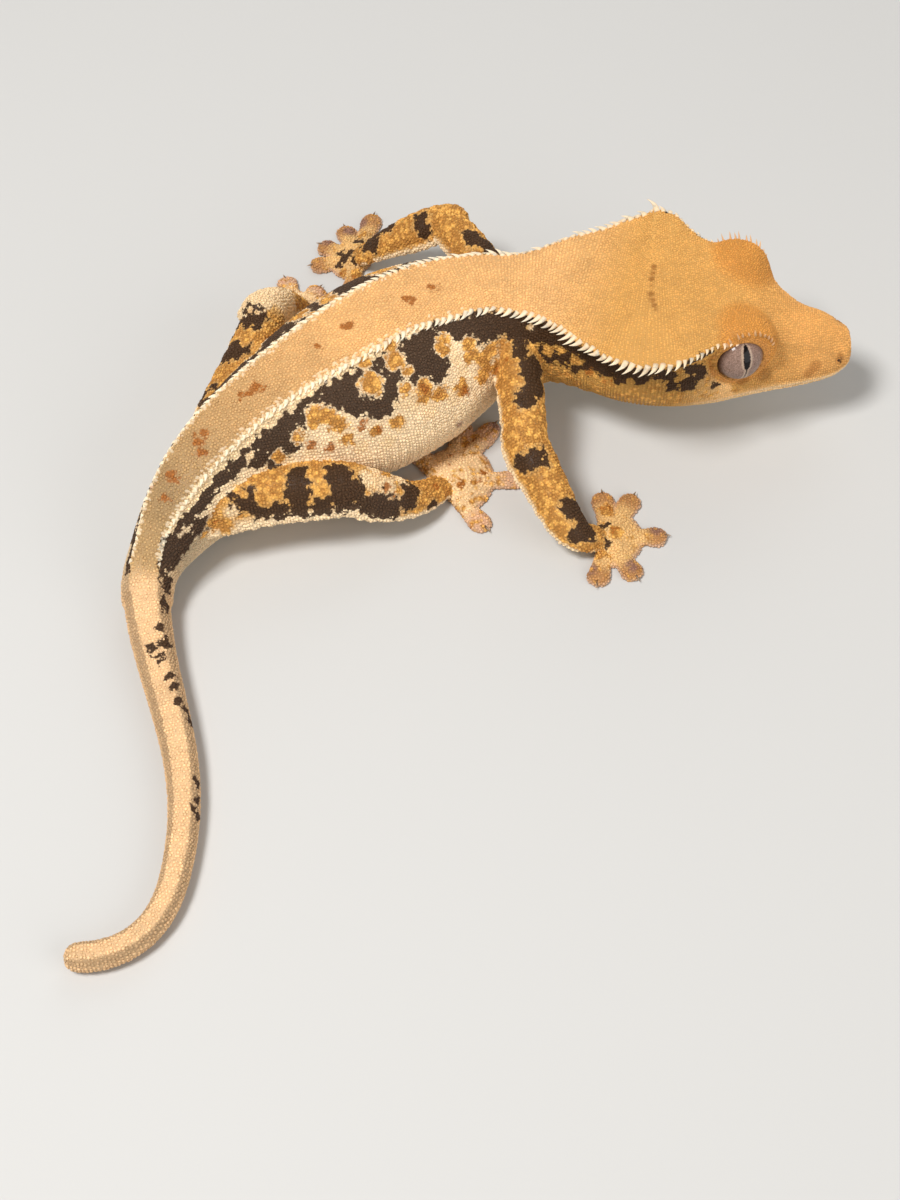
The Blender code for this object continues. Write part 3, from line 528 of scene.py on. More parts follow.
def brow(way):
    """The dome over an eye with a flat face around the eye, and the lid as a ring of tube.

    The dome is an ellipsoid cut off flat on the outer side, with wrinkles that run round the eye;
    the lid's thickness and reach change around it, heavy above and thin below.
    """
    middle, turn = brow_frame(way)
    angle = np.linspace(0.03, math.pi - 0.03, 60)[:, None]
    spin = np.arange(96) * 2 * math.pi / 96
    ball = np.stack([np.sin(angle) * np.cos(spin), np.sin(angle) * np.sin(spin),
                     np.cos(angle) + 0 * spin], axis=-1)
    wrinkle = 0.05 * np.sin(2 * math.pi * 4.8 * np.cos(angle) / 0.8) * rise(np.sin(angle), 0.5, 0.9)
    local = ball * (np.array(BROW_SIZE) - COAT + wrinkle[..., None])
    local[..., 2] = np.minimum(local[..., 2], BROW_FACE - 0.5)
    cap = middle + local @ turn
    middle, aim, radius = eye_centre(way), eye_aim(way), EYE[3]
    level, upward = axes(aim)
    spin = np.arange(64) * 2 * math.pi / 64
    upper = (np.sin(spin)[:, None] + 1) / 2
    out = 0.75 + 0.3 * upper
    thick = 0.36 + 0.14 * upper - COAT
    reach = np.sqrt((radius + 0.05) ** 2 - out ** 2) + thick * 0.8
    around = level * np.cos(spin)[:, None] + upward * np.sin(spin)[:, None]
    round_it = np.arange(14) * 2 * math.pi / 14
    heart = middle + reach * around + out * aim
    tube = heart[:, None] + thick[:, None] * (
        np.cos(round_it)[None, :, None] * around[:, None] + np.sin(round_it)[None, :, None] * aim)
    return cap, tube


def eased(points, ways):
    """Points near the foot of each dome moved out, so that it rises from the head in a hollow."""
    head, faces = closed(GRIDS[0][3])
    tree = BVHTree.FromPolygons(head.tolist(), [row for part in faces for row in part.tolist()])
    for way in (1, -1):
        away, out = past_brow(points, way)
        near = np.flatnonzero((np.abs(away) < BROW_SOFT) & (out < 2.3))
        gap = np.abs(np.abs(away[near]) - nearest(tree, points[near])[3])
        share = np.clip(1 - gap / BROW_SOFT, 0, 1) ** 2 * rise(out[near], 2.2, 0.2)
        points[near] += ways[near] * (share * BROW_SOFT / 4)[:, None]
    return points


def ring_closed(grid):
    """Points and faces of a tube that runs round into itself."""
    rings, around = grid.shape[:2]
    k = np.arange(rings * around).reshape(rings, around)
    a, b = k, np.roll(k, -1, axis=1)
    quads = np.stack([a, b, np.roll(b, -1, axis=0), np.roll(a, -1, axis=0)], axis=-1).reshape(-1, 4)
    points = grid.reshape(-1, 3)
    corners = points[np.concatenate([quads[:, :3], quads[:, (0, 2, 3)]])]
    size = np.einsum("ij,ij->i", corners[:, 0], np.cross(corners[:, 1], corners[:, 2])).sum()
    return points, [quads if size > 0 else quads[:, ::-1]]


def skin_mesh(fine):
    """One closed skin from all the forms, with no seam between them.

    The forms are melted into one surface on a lattice of cells, smoothed a little and thinned
    away from the head, and nothing is left under the floor.
    """
    forms = [closed(grid) for _, _, _, grid in GRIDS]
    for way in (1, -1):
        cap, tube = brow(way)
        forms += [closed(cap), ring_closed(tube)]
    thing = bpy.data.objects.new("skin_forms", mesh_of("skin_forms", *joined(forms)))
    bpy.context.scene.collection.objects.link(thing)
    melt = thing.modifiers.new("melt", "REMESH")
    melt.mode, melt.voxel_size = "VOXEL", fine * METRES
    ease = thing.modifiers.new("ease", "SMOOTH")
    ease.factor, ease.iterations = 0.5, 3
    bpy.context.view_layer.update()
    mesh = bpy.data.meshes.new_from_object(
        thing.evaluated_get(bpy.context.evaluated_depsgraph_get()))
    bpy.data.objects.remove(thing)
    thing = bpy.data.objects.new("skin_thick", mesh)
    bpy.context.scene.collection.objects.link(thing)
    ways = np.empty(len(mesh.vertices) * 3, np.float32)
    mesh.vertices.foreach_get("normal", ways)
    points = eased(points_of(mesh), ways.reshape(-1, 3))
    mesh.vertices.foreach_set("co", ((points - MIDDLE) * METRES).ravel())
    weight = 0.15 + 0.85 * rise(points[:, 0] + points[:, 2] * 0.3, 40, 30)
    guard = thing.vertex_groups.new(name="guard")
    share = np.round(weight * 8).astype(int)
    for step in range(9):
        guard.add(np.flatnonzero(share == step).tolist(), step / 8, "REPLACE")
    thin = thing.modifiers.new("thin", "DECIMATE")
    faces = sum(len(p.vertices) - 2 for p in mesh.polygons)
    thin.ratio = min(1, 196000 / faces)
    thin.vertex_group = "guard"
    bpy.context.view_layer.update()
    made = bpy.data.meshes.new_from_object(
        thing.evaluated_get(bpy.context.evaluated_depsgraph_get()))
    bpy.data.objects.remove(thing)
    bpy.data.meshes.remove(mesh)
    points = points_of(made)
    points[:, 2] = np.maximum(points[:, 2], 0)
    made.vertices.foreach_set("co", ((points - MIDDLE) * METRES).ravel())
    made.polygons.foreach_set("use_smooth", np.ones(len(made.polygons), bool))
    made.update()
    made.name = "skin"
    return made


# Markings of the right side, as place and radius in millimetres; the left side repeats them.
DARK_BLOTS = [
    (0.1, 29.4, 18.8, 1), (2.1, 29.7, 18.3, 1.3), (4.3, 29.8, 17.5, 1.6), (6.9, 30.9, 17.4, 1.1),
    (8.7, 29.9, 15.7, 0.9), (8.8, 28.1, 15.5, 0.8), (10.9, 25.9, 14.7, 1.5),
    (10.6, 23.6, 14.4, 1.6), (9.6, 21.6, 13.9, 1.1), (-2.5, 25.8, 18.3, 1.9),
    (-4.6, 24.8, 18.6, 1.5), (-1.8, 24.1, 16.6, 1.4), (-6.1, 25.7, 19.4, 0.9),
    (-6.2, 23.2, 18.4, 1.1), (-12.8, 18.5, 18, 1.6), (-14.9, 17.7, 18.1, 1.4),
    (-11.3, 18.2, 17.1, 1.4), (-9.1, 18.8, 16.2, 1.3), (-8, 19, 15.7, 1.1),
    (-12.8, 20.1, 18.9, 1.1), (-10.3, 22.5, 19.4, 0.8), (-7.5, 20.8, 17.5, 1.1),
    (-8.4, 24.3, 19.6, 0.8), (-3.7, 23.6, 17.5, 1.5), (-9, 18.1, 15.1, 0.6),
    (-19.5, 14.6, 16.9, 1.4), (-21.5, 13, 15.8, 1.5), (-22.8, 12.6, 16.1, 1.1),
    (-19.8, 13.4, 14.9, 1), (-20.3, 15.5, 18.1, 0.8), (-24, 11.1, 14.4, 0.9),
    (-22.4, 11.8, 13.4, 0.9), (-25.6, 10.5, 15.3, 0.8), (-26.7, 9.3, 14.6, 0.8),
    (-28.1, 8.3, 14.3, 0.6), (-29.2, 7.5, 14.3, 0.8), (-30.1, 6.1, 12.8, 0.6),
    (-31.2, 5.3, 12.7, 0.8), (-32, 4.2, 11.9, 0.8), (-30.9, 4.3, 9.7, 1), (-32.6, 2.7, 9, 0.6),
    (-33.5, 1.9, 8.3, 0.8), (-18.5, 9.7, 12.3, 1.3), (-18.9, 8.3, 11.4, 1.1),
    (-14, 10.4, 11.9, 1.3), (-12.2, 9.1, 10.6, 1.1), (-13, 8.2, 9.8, 1), (-14.7, 9.1, 10.6, 0.8),
    (-25.1, 7.5, 11.1, 1.1), (-23.4, 7, 9.9, 0.9), (-26, 7.5, 11.5, 0.8), (-21.4, 7.3, 9.3, 0.6),
    (-18.7, 7.5, 9.5, 0.6), (-16, 7.8, 9.6, 0.6), (-10.6, 8.9, 8, 1), (-9, 9, 8, 1.1),
    (-7.5, 9.3, 6.9, 0.8), (-5, 12.2, 6.8, 0.8), (-5.2, 10.8, 6.4, 0.8), (-2.5, 12.3, 2.7, 0.6),
    (10.8, 15.4, 10.1, 1), (9.1, 14.4, 9.6, 0.9), (10.3, 14.1, 10.3, 1), (11.8, 13.7, 10, 0.6),
    (15.9, 9.4, 6.4, 1.3), (17, 8.7, 5, 1.3), (17.5, 7.7, 4.2, 1), (16.1, 6.7, 4.7, 0.8),
    (15, 9.5, 7.1, 0.8), (19.6, 10.5, 1.6, 0.5), (19.7, 7.7, 1.3, 0.5), (24.7, 22.4, 21.3, 1.1),
    (20, 22.9, 21.1, 0.6), (21.8, 21.2, 21.2, 0.9), (24.2, 23.8, 15.6, 1.1),
    (21.8, 24.2, 14.3, 0.8), (27.1, 23.6, 16.1, 1.1), (30.5, 23.7, 14.2, 1),
    (28.4, 23.4, 14.2, 0.8), (32, 24.5, 15.7, 1), (34.1, 24.7, 13.3, 0.6), (30.5, 24.1, 16.6, 0.9),
]
GOLD_BLOTS = [
    (2.6, 26.9, 15.8, 0.8), (5.1, 28.4, 15.2, 0.9), (4.4, 26.7, 13.4, 1.0), (1.5, 24.1, 13.2, 0.9),
    (-3.4, 21.3, 14.5, 0.8), (-5.4, 21.1, 16.3, 0.7), (-12.9, 15.3, 13.0, 0.7), (-17, 15.2, 16.4, 0.7),
    (-21.3, 12.3, 13.6, 0.7), (-29.2, 5.9, 9.6, 0.7), (7, 27.1, 14.3, 1.0), (8.1, 23.9, 14.4, 0.8),
    (-9.8, 20.2, 18.1, 1.4), (-6.9, 23.6, 18.9, 1), (-5.4, 22.8, 17.9, 0.6),
    (-7.5, 25.3, 19.8, 0.8), (-10.8, 22.6, 19.5, 0.6), (-15.9, 16.1, 17, 1.1),
    (-14.4, 16, 15.9, 0.9), (-17.1, 16, 17.4, 0.6), (-9.4, 16.9, 13.1, 0.6), (-19, 14, 15.6, 0.6),
    (-13.4, 15.9, 14.9, 0.6), (-3.1, 21.9, 15.1, 1.1), (-1.3, 22.4, 13.8, 0.9),
    (-6.8, 18.2, 13.2, 0.8), (-0.8, 27.3, 18.3, 0.8), (-0.9, 26.4, 17.9, 0.8),
    (2.5, 27.8, 16.9, 0.8), (3, 27.2, 15.8, 0.9), (4.5, 27.4, 14.4, 1), (4.1, 26.2, 12.8, 0.9),
    (6.5, 27.3, 12.9, 1.1), (7.1, 29.4, 15.1, 1), (6.4, 25.3, 11.9, 0.9), (11.1, 29.8, 14.6, 1.1),
    (12.5, 29.1, 14.7, 1.1), (14.3, 28.3, 15.4, 1.1), (13.2, 28.3, 11.5, 0.6),
    (16.1, 27.1, 14.9, 1.1), (18.1, 25.8, 13.7, 1), (20.5, 24.6, 13.1, 0.9), (26, 23.3, 13.7, 0.8),
    (16.2, 24.8, 20.4, 0.6), (-22.3, 9, 12.1, 1.1), (-23.1, 7.8, 11.2, 0.9), (-22, 10.4, 12.5, 0.8),
    (-16.7, 10.5, 12.6, 0.8), (-16.1, 8.8, 11.7, 0.8), (-29.3, 5.6, 8.9, 0.9), (-28, 5.4, 8.2, 0.8),
    (-26.1, 8.8, 11.4, 0.8), (-30.6, 4.5, 8, 0.5), (10.2, 18.5, 12.5, 1.1), (10.8, 17, 11.6, 1),
    (12, 12.3, 9.3, 1), (12.6, 10.8, 8.2, 1.1), (13.9, 11.4, 8.4, 0.8), (9.4, 17.8, 12.2, 0.9),
    (11.3, 10.7, 7.1, 0.6), (21.3, 9.2, 1.4, 0.9), (20.4, 13.5, 1.2, 0.8), (17.1, 5.9, 2.1, 0.8),
    (19.1, 6.2, 1.2, 0.6), (32.3, 24, 11.6, 0.9), (29.6, 23.5, 12.1, 0.6), (36.8, 25.5, 11.1, 0.9),
]
CREAM_BLOTS = [
    (0.8, 25.9, 16.4, 0.8), (1.6, 25.3, 15, 0.8), (0.2, 26.6, 17.5, 0.5), (-4.4, 20.5, 14.5, 1.4),
    (-6.2, 19.7, 15.2, 1), (-2.5, 20.7, 12.5, 1.1), (0.5, 22.8, 12.5, 1.1),
    (-13.7, 15.2, 13.6, 1.3), (-11.2, 15.4, 11.7, 1), (-7.9, 16.8, 11, 1), (-6.3, 18.1, 12.5, 0.8),
    (-17.4, 13.6, 13.1, 0.8), (-20, 12.6, 12.8, 0.6), (-24.7, 11, 15.2, 0.6),
    (-10.4, 10.9, 11, 1.1), (-8, 11, 9.3, 1.1), (-9.8, 13.1, 10, 0.8), (-6.1, 13.3, 7.7, 1),
    (-27.1, 6.4, 10.1, 0.9), (-27.9, 5.1, 6.7, 0.9), (10.5, 30.3, 17.5, 0.6), (-27.2, 9.2, 15, 0.4),
]
RUST_BLOTS = [
    (-2.2, 35.5, 19.3, 0.9), (-5.3, 33.1, 19.7, 1.0), (-12.9, 28.5, 20, 0.95), (-16.7, 24.9, 19.9, 0.5),
    (-24.4, 18.6, 19, 1.0), (-25.6, 18.0, 19, 0.9), (-23.2, 18.9, 19, 0.8), (-30.2, 12.9, 17.4, 0.7),
    (-30.9, 11.6, 17.0, 0.8), (-31.3, 12.9, 16.8, 0.6), (-30.7, 10.4, 16.7, 0.8),
    (-34.1, 8.1, 14.9, 0.8), (-35, 5.8, 13.5, 0.8),
    (-3.1, 21.9, 15.1, 0.6), (-1.3, 22.4, 13.8, 0.5), (2.1, 24.1, 12.6, 0.5),
    (-11, 16.7, 14.4, 0.5), (-9, 17, 13.2, 0.4), (-14.9, 14.3, 12.8, 0.5), (-17.2, 13.9, 13.8, 0.4),
    (-29.2, 5.9, 8.9, 0.5), (-28.6, 6.7, 6.1, 0.4), (7.2, 27.6, 14.6, 0.4), (6.1, 27.6, 12.1, 0.4),
    (17.9, 26.1, 14.1, 0.5), (20.1, 24.9, 13.2, 0.4), (-0, 20.5, 1.4, 0.5), (-1.8, 15.4, 3.7, 0.6),
    (-0.3, 15.5, 2.3, 0.5), (1.4, 17.3, 1.7, 0.5), (4.5, 19.7, 0.8, 0.5), (3.9, 18.4, 1, 0.4),
    (3.1, 25.2, 1.1, 0.4), (0.1, 22.5, 1.3, 0.4), (-22.6, 8.2, 11.5, 0.4), (-8, 10.8, 9.2, 0.5),
    (-7, 10.3, 8.2, 0.4), (20.3, 13.9, 1.1, 0.5), (21.2, 9.5, 2.1, 0.4), (2.6, 11.2, 0.2, 0.4),
]
MAUVE_BLOTS = [
    (17.9, 4.3, 0.6, 0.9), (23.3, 4.7, 1, 0.9), (26.7, 10.4, 0.9, 0.8), (6.1, 28.2, 0.7, 0.8),
    (1.3, 22, 8.1, 0.5), (7, 21, 10.9, 0.5),
]
TAIL_BLOTS = [
    (-34.4, 1.7, 9.5, 1.2), (-34.5, 0.6, 7.7, 1.3), (-35, -1.4, 5.7, 1.1), (-35.2, -4.1, 4.7, 0.7),
    (-35.4, -7.6, 5.2, 0.55), (-34.6, -9.5, 4.7, 0.6), (-36.2, -10.7, 5, 0.45), (-35.1, -12.2, 4.8, 0.5),
    (-33.5, -14.3, 4.5, 0.5), (-33.1, -15.6, 4.4, 0.5), (-32.4, -17.6, 4.1, 0.5), (-31.8, -18.2, 3.4, 0.5),
    (-31.2, -19.5, 2.7, 0.5), (-29.7, -28, 2.8, 0.5), (-29.5, -30.5, 2.8, 0.5), (-29.8, -31.6, 3.3, 0.45),
    (-29.3, -32.4, 2.4, 0.45),
]
# Where the pale border under the spines ends and the dark begins, then how far down it runs.
DARK_START = [(13.4, 2.1), (14.2, 2.35), (15.4, 2.55), (16.7, 2.45), (17.7, 2.34), (19.2, 2.2),
              (20.7, 2.1), (21.3, 2.1), (29, 2.12)]
DARK_EDGE = [(13.5, 2.7), (15, 2.85), (16, 2.8), (17, 2.75), (18, 2.75), (19.3, 2.6), (20, 2.6),
             (21, 2.6), (22.3, 2.8), (23, 3.4), (24, 3.6), (25, 3.6), (26.2, 3.35), (27, 2.95),
             (27.8, 2.4), (28.3, 2.1)]
# Soft brown and mauve smudges of the head: place, radius and strength.
SMUDGES = [
    (37.7, 25.9, 12.5, 1.0, 0.5), (40.6, 26.8, 12.4, 1.1, 0.45), (47.4, 28.4, 12.2, 0.9, 0.5),
    (46.6, 28, 11.3, 0.8, 0.5), (50.7, 30, 12, 0.8, 0.6), (37.3, 37.5, 20.7, 0.9, 0.35),
    (36.3, 29.2, 20.5, 0.9, 0.35), (26.2, 37, 21.6, 0.45, 0.75), (26, 36, 21.5, 0.4, 0.7),
    (25.8, 35.1, 21.4, 0.45, 0.75), (25.7, 34, 21.3, 0.3, 0.5), (25.6, 32.7, 21.2, 0.45, 0.75),
    (25.7, 31.7, 21.2, 0.4, 0.75), (25.9, 30.8, 21.2, 0.4, 0.7), (26, 30, 21.1, 0.3, 0.5),
]
PARTS = ("trunk", "upper_arm", "forearm", "thigh", "shin", "hand", "foot")


def mirrored(name, grid, others):
    """For each point of a grid, its twin on the right side; the middle of the back is its own."""
    lines = grid.shape[1]
    if name == "trunk":
        turn = np.arange(lines)
        twin = grid[:, (lines - turn) % lines]
        own = (turn > lines // 2) | (turn < lines // 6)
        return np.where(own[None, :, None], grid, twin)
    if "left" not in name:
        return grid
    twin = others[name.replace("left", "right")]
    return twin[:, (lines // 2 - np.arange(lines)) % lines]


def survey():
    """What each point of the lofts is: part, place along it, place around it and twin.

    Around is the line for the trunk, 0 on the back to 6 on the belly, and for the limbs the
    height on the section from -1 to 1.
    """
    others = {name: grid for name, _, _, grid in GRIDS}
    forms, facts = [], []
    for name, t, v, grid in GRIDS:
        part = next(k for k, word in enumerate(PARTS) if name.startswith(word))
        along = t if part == 0 else t / t[-1]
        around = np.minimum(v, 12 - v) if part == 0 else np.sin(2 * math.pi * v)
        if part > 4 and name[-1].isdigit() is False:
            along = along * 0
        fact = np.zeros(grid.shape[:2] + (6,))
        fact[..., 0], fact[..., 1], fact[..., 2] = part, along[:, None], around[None, :]
        fact[..., 3:] = mirrored(name, grid, others)
        fact = fact.reshape(-1, 6)
        facts.append(np.concatenate([fact, fact[:1], fact[-1:]]))
        forms.append(closed(grid))
    points, faces = joined(forms)
    rows = [row for part in faces for row in part.tolist()]
    corners = np.concatenate([np.concatenate([part, part[:, :1]], axis=1)[:, :4] for part in faces])
    return BVHTree.FromPolygons(points.tolist(), rows), points, corners, np.concatenate(facts)


def nearest(tree, points):
    """For each point, the closest place on a surface, the surface's way out, face and distance."""
    found = [tree.find_nearest(point) for point in points.tolist()]
    return (np.array([f[0] for f in found]), np.array([f[1] for f in found]),
            np.array([f[2] for f in found]), np.array([f[3] for f in found]))


def facts_at(points):
    """The survey's facts at any points, weighed between the corners of the closest face."""
    tree, known, corners, facts = SURVEY
    _, _, face, _ = nearest(tree, points)
    near = corners[face]
    weight = 1 / (np.linalg.norm(known[near] - points[:, None], axis=2) ** 2 + 1e-4)
    weight /= weight.sum(axis=1, keepdims=True)
    made = (facts[near] * weight[..., None]).sum(axis=1)
    made[:, 0] = facts[near[:, 0], 0]
    return made


def depth_in(points, blots):
    """How deep in millimetres each point lies inside the nearest blot, negative outside."""
    blots = np.array(blots)
    away = np.linalg.norm(points[:, None] - blots[None, :, :3], axis=2)
    return (blots[:, 3] - away).max(axis=1)


def ramp(x, stops):
    """Colours along a line, from pairs of place and colour."""
    where = [stop[0] for stop in stops]
    return np.stack([np.interp(x, where, [stop[1][k] for stop in stops]) for k in range(3)], axis=1)


def paint(points, colours):
    """Ground colour and markings at any points of the skin.

    The ground runs along the back, the flank and the belly of the trunk and along each limb; the
    markings are depths in millimetres of the dark, of the gold that breaks it, and of the rust. The
    dark also fills the nostrils and the ear openings as painted shade.
    """
    facts = facts_at(points)
    part, along, around, twin = facts[:, 0], facts[:, 1], facts[:, 2], facts[:, 3:]
    c = {name: np.array(getattr(colours, name)[:3]) for name in (
        "shield", "snout", "back", "hip", "tail", "flank", "belly", "gold", "lip", "limb", "hand",
        "foot", "pad", "lid", "brow", "mauve")}
    back = ramp(along, [(0, c["tail"] * 0.8), (4, c["tail"]), (12.6, c["tail"]), (13.2, c["hip"] * 1.3),
                        (15, c["hip"]), (17.3, (c["hip"] + c["back"]) / 2), (19, c["back"]),
                        (23.6, c["back"]), (25.5, c["shield"]), (29, c["shield"]), (31, c["snout"])])
    upper = ramp(along, [(0, c["tail"] * 0.62), (12.6, c["tail"] * 0.6), (14, c["flank"] * 0.8),
                         (16, c["flank"]), (21, c["flank"]), (23, c["gold"] * 0.68),
                         (26, c["gold"] * 0.72), (28, c["gold"] * 0.95), (31.5, c["snout"] * 0.9)])
    lower = ramp(along, [(0, c["tail"] * 0.85), (12.6, c["tail"] * 0.85), (14.5, c["flank"] * 0.6),
                         (17, c["flank"]), (21.5, c["flank"]), (23, c["gold"] * 0.62), (27, c["gold"] * 0.75),
                         (28.3, c["lip"]), (29, c["lip"] * 1.12), (35, c["lip"] * 1.12)])
    under = ramp(along, [(0, c["tail"] * 0.9), (12.6, c["tail"] * 0.9), (14, c["belly"]),
                         (35, c["belly"])])
    edge = np.interp(along, *zip(*DARK_EDGE))
    start = np.interp(along, *zip(*DARK_START))
    change = np.maximum(np.interp(along, [13, 15, 19, 22, 23], [3.4, 3.5, 2.9, 2.9, 3.2]), np.interp(along, [26.5, 29], [0, 4.25]))

    def blend(a, b, share):
        return a + (b - a) * share[:, None]

    trunk_ground = blend(back, upper, rise(around, 1.95, 2.1))
    border = rise(around, 1.85, 2.0) * rise(around, start + 0.1, start) * rise(along, 13.4, 14.2)
    border = border * rise(along, 21, 19.5)
    trunk_ground = blend(trunk_ground, lower, rise(around, change - 0.2, change + 0.2))
    trunk_ground = blend(trunk_ground, under, rise(around, 4.7, 5.4))
    edge_of_lip = rise(np.abs(around - 4.5), 0.22, 0.08) * rise(along, 26.5, 29)
    trunk_ground = blend(trunk_ground, c["flank"] + 0 * points, 0.7 * edge_of_lip)
    trunk_ground = blend(trunk_ground, c["flank"] * (0.98, 0.97, 0.92) + 0 * points, border)
    leg = blend(c["belly"] + 0 * points, c["limb"] + 0 * points, rise(around, -0.7, 0.0))
    leg = blend(leg, (c["flank"] * 0.9) + 0 * points,
                (part == 3) * rise(around, 0.2, -0.3) + (part == 4) * rise(along, 0.55, 0.4)
                * rise(along, 0.2, 0.35) * 0.6)
    leg = blend(leg, c["flank"] * 1.04 + 0 * points, rise(around, -0.1, -0.25) * rise(around, -0.7, -0.5))
    tips = rise(along, 0.55, 0.8)
    fore = blend(c["hand"] + 0 * points, c["hand"] * (0.62, 0.5, 0.45) + 0 * points, tips)
    hind = blend(c["foot"] + 0 * points, c["foot"] * (0.8, 0.7, 0.8) + 0 * points, tips)
    ground = np.select([(part == 0)[:, None], (part < 5)[:, None], (part == 5)[:, None]],
                       [trunk_ground, leg, fore], hind)
    pale = depth_in(twin, CREAM_BLOTS)
    knee = (part == 4) & (points[:, 1] > 30) & (along < 0.45)
    pale = np.where(knee, np.maximum(pale, 0.9 - 5 * np.abs(along - 0.2)), pale)
    pale = np.where((part == 3) & (points[:, 1] > 30), np.maximum(pale, 6 * (along - 0.8)), pale)
    near_brow = np.full(len(points), 9.0)
    for way in (1, -1):
        away, out = past_brow(points, way)
        near_brow = np.where(part == 0, np.minimum(near_brow, away), near_brow)
        ground = blend(ground, c["brow"] + 0 * points, 0.8 * rise(away, 1.2, 0.0) * (part == 0))
        eye = np.linalg.norm(points - eye_centre(way), axis=1)
        ground = blend(ground, c["lid"] + 0 * points, 0.9 * rise(eye, 4.5, 3.9))
    for x, y, z, size, share in SMUDGES:
        far = np.linalg.norm(np.minimum(twin if z < 20 else points, 99) - (x, y, z), axis=1)
        ground = blend(ground, c["lid"] * (0.5, 0.4, 0.25) + 0 * points, share * rise(far, size * 1.3, 0.5 * size))
    low = rise(points[:, 2], 0.7, 0.25) * (part > 4)
    ground = blend(ground, c["pad"] + 0 * points, low)
    ground = blend(ground, c["flank"] * (0.96, 0.92, 0.85) + 0 * points, rise(pale, -0.4, 0.3))
    ground = blend(ground, c["mauve"] + 0 * points, 0.8 * rise(depth_in(twin, MAUVE_BLOTS), -0.5, 0.4))
    flank = np.minimum(edge - around, around - start) * 3.4
    flank = np.where((part == 0) & (along > 13) & (along < 28.3), flank, -3)
    blot = np.select([part > 4, part > 2, part > 0, along > 24], [0.3, 0.8, 0.5, 0.1], 0.4)
    dark = np.maximum(flank, depth_in(twin, DARK_BLOTS) + blot)
    dark = np.minimum(dark, -pale)
    dark = np.where(near_brow < 1.0, -3, dark)
    dark = np.where(part == 0, np.minimum(dark, (around - start) * 3.4), dark)
    # Painted shade: the nostrils and the ear openings are filled with the dark colour.
    holes = [trunk([t], [12 - w])[0, 0] for t, w in (NOSTRIL, EAR)]
    dark = np.maximum(dark, depth_in(twin, [(*holes[0], 0.42), (*holes[1], 0.5)]) * 3)
    tail = np.where((part == 0) & (along < 15), depth_in(points, TAIL_BLOTS), -3)
    dark = np.maximum(dark, tail)
    gold = depth_in(twin, GOLD_BLOTS) + np.where((part == 0) & (along > 22.6), -0.1, 0.5)
    limb = (part > 0) & (part < 5)
    dark = np.where(limb, np.minimum(dark, (around + 0.2) * 5), dark)
    leg_gold = np.min([-dark + 0.15, (around + np.where(part == 3, -0.05, 0.15)) * 4, -pale - 0.3], axis=0)
    gold = np.where(limb, np.maximum(gold, leg_gold), gold)
    gold = np.where(part > 4, np.maximum(gold, np.minimum((part == 6) * 0.15, around * 2)), gold)
    neck = (part == 0) & (along > 22.6) & (along < 28.3) & (around > 2.15) & (around < 4.3)
    gold = np.where(neck, np.maximum(gold, np.minimum(-dark - 0.3, 0.25)), gold)
    rust = np.maximum(depth_in(twin, RUST_BLOTS) + 0.2 * (around > 2), -3)
    marks = np.clip(np.stack([dark, gold, rust], axis=1), -3, 3) / 6 + 0.5
    return ground, marks


def tell(mesh, points, colours, dome, spread=None):
    """Puts ground, marks and dome on a mesh, worked out at its points or at each copy's foot."""
    ground, marks = paint(points, colours)
    if spread is not None:
        ground, marks = ground[spread], marks[spread]
    give(mesh, "ground", ground)
    give(mesh, "marks", marks)
    # dome holds three numbers for each point. The first is the height on each small form, which the markings turn
    # into painted shade at its foot and a painted highlight at its top. The second is a random tone, and the third
    # is the share of knob colour.
    give(mesh, "dome", dome)


def socket(group, name, kind, way, value=None):
    """One named socket of a node group."""
    made = group.interface.new_socket(name, in_out=way, socket_type="NodeSocket" + kind)
    if value is not None:
        made.default_value = value
    return made


def node(tree, kind, links=(), **settings):
    """A node with its settings, and its inputs given as a value or as another node's output."""
    made = tree.nodes.new("ShaderNode" + kind)
    for name, value in settings.items():
        setattr(made, name, value)
    for name, value in dict(links).items():
        if isinstance(value, bpy.types.NodeSocket):
            tree.links.new(value, made.inputs[name])
        else:
            made.inputs[name].default_value = value
    return made


def span(tree, value, low, high):
    """Maps low to high onto 0 to 1 in a smooth S."""
    return node(tree, "MapRange", {0: value, 1: low, 2: high}, interpolation_type="SMOOTHSTEP").outputs[0]


def mix(tree, share, a, b, blend="MIX"):
    """Two colours mixed by a share."""
    return node(tree, "Mix", {0: share, 6: a, 7: b}, data_type="RGBA", blend_type=blend).outputs[2]


def maths(tree, operation, a, b=0.0, c=0.0):
    """One sum of up to three numbers."""
    return node(tree, "Math", {0: a, 1: b, 2: c}, operation=operation).outputs[0]


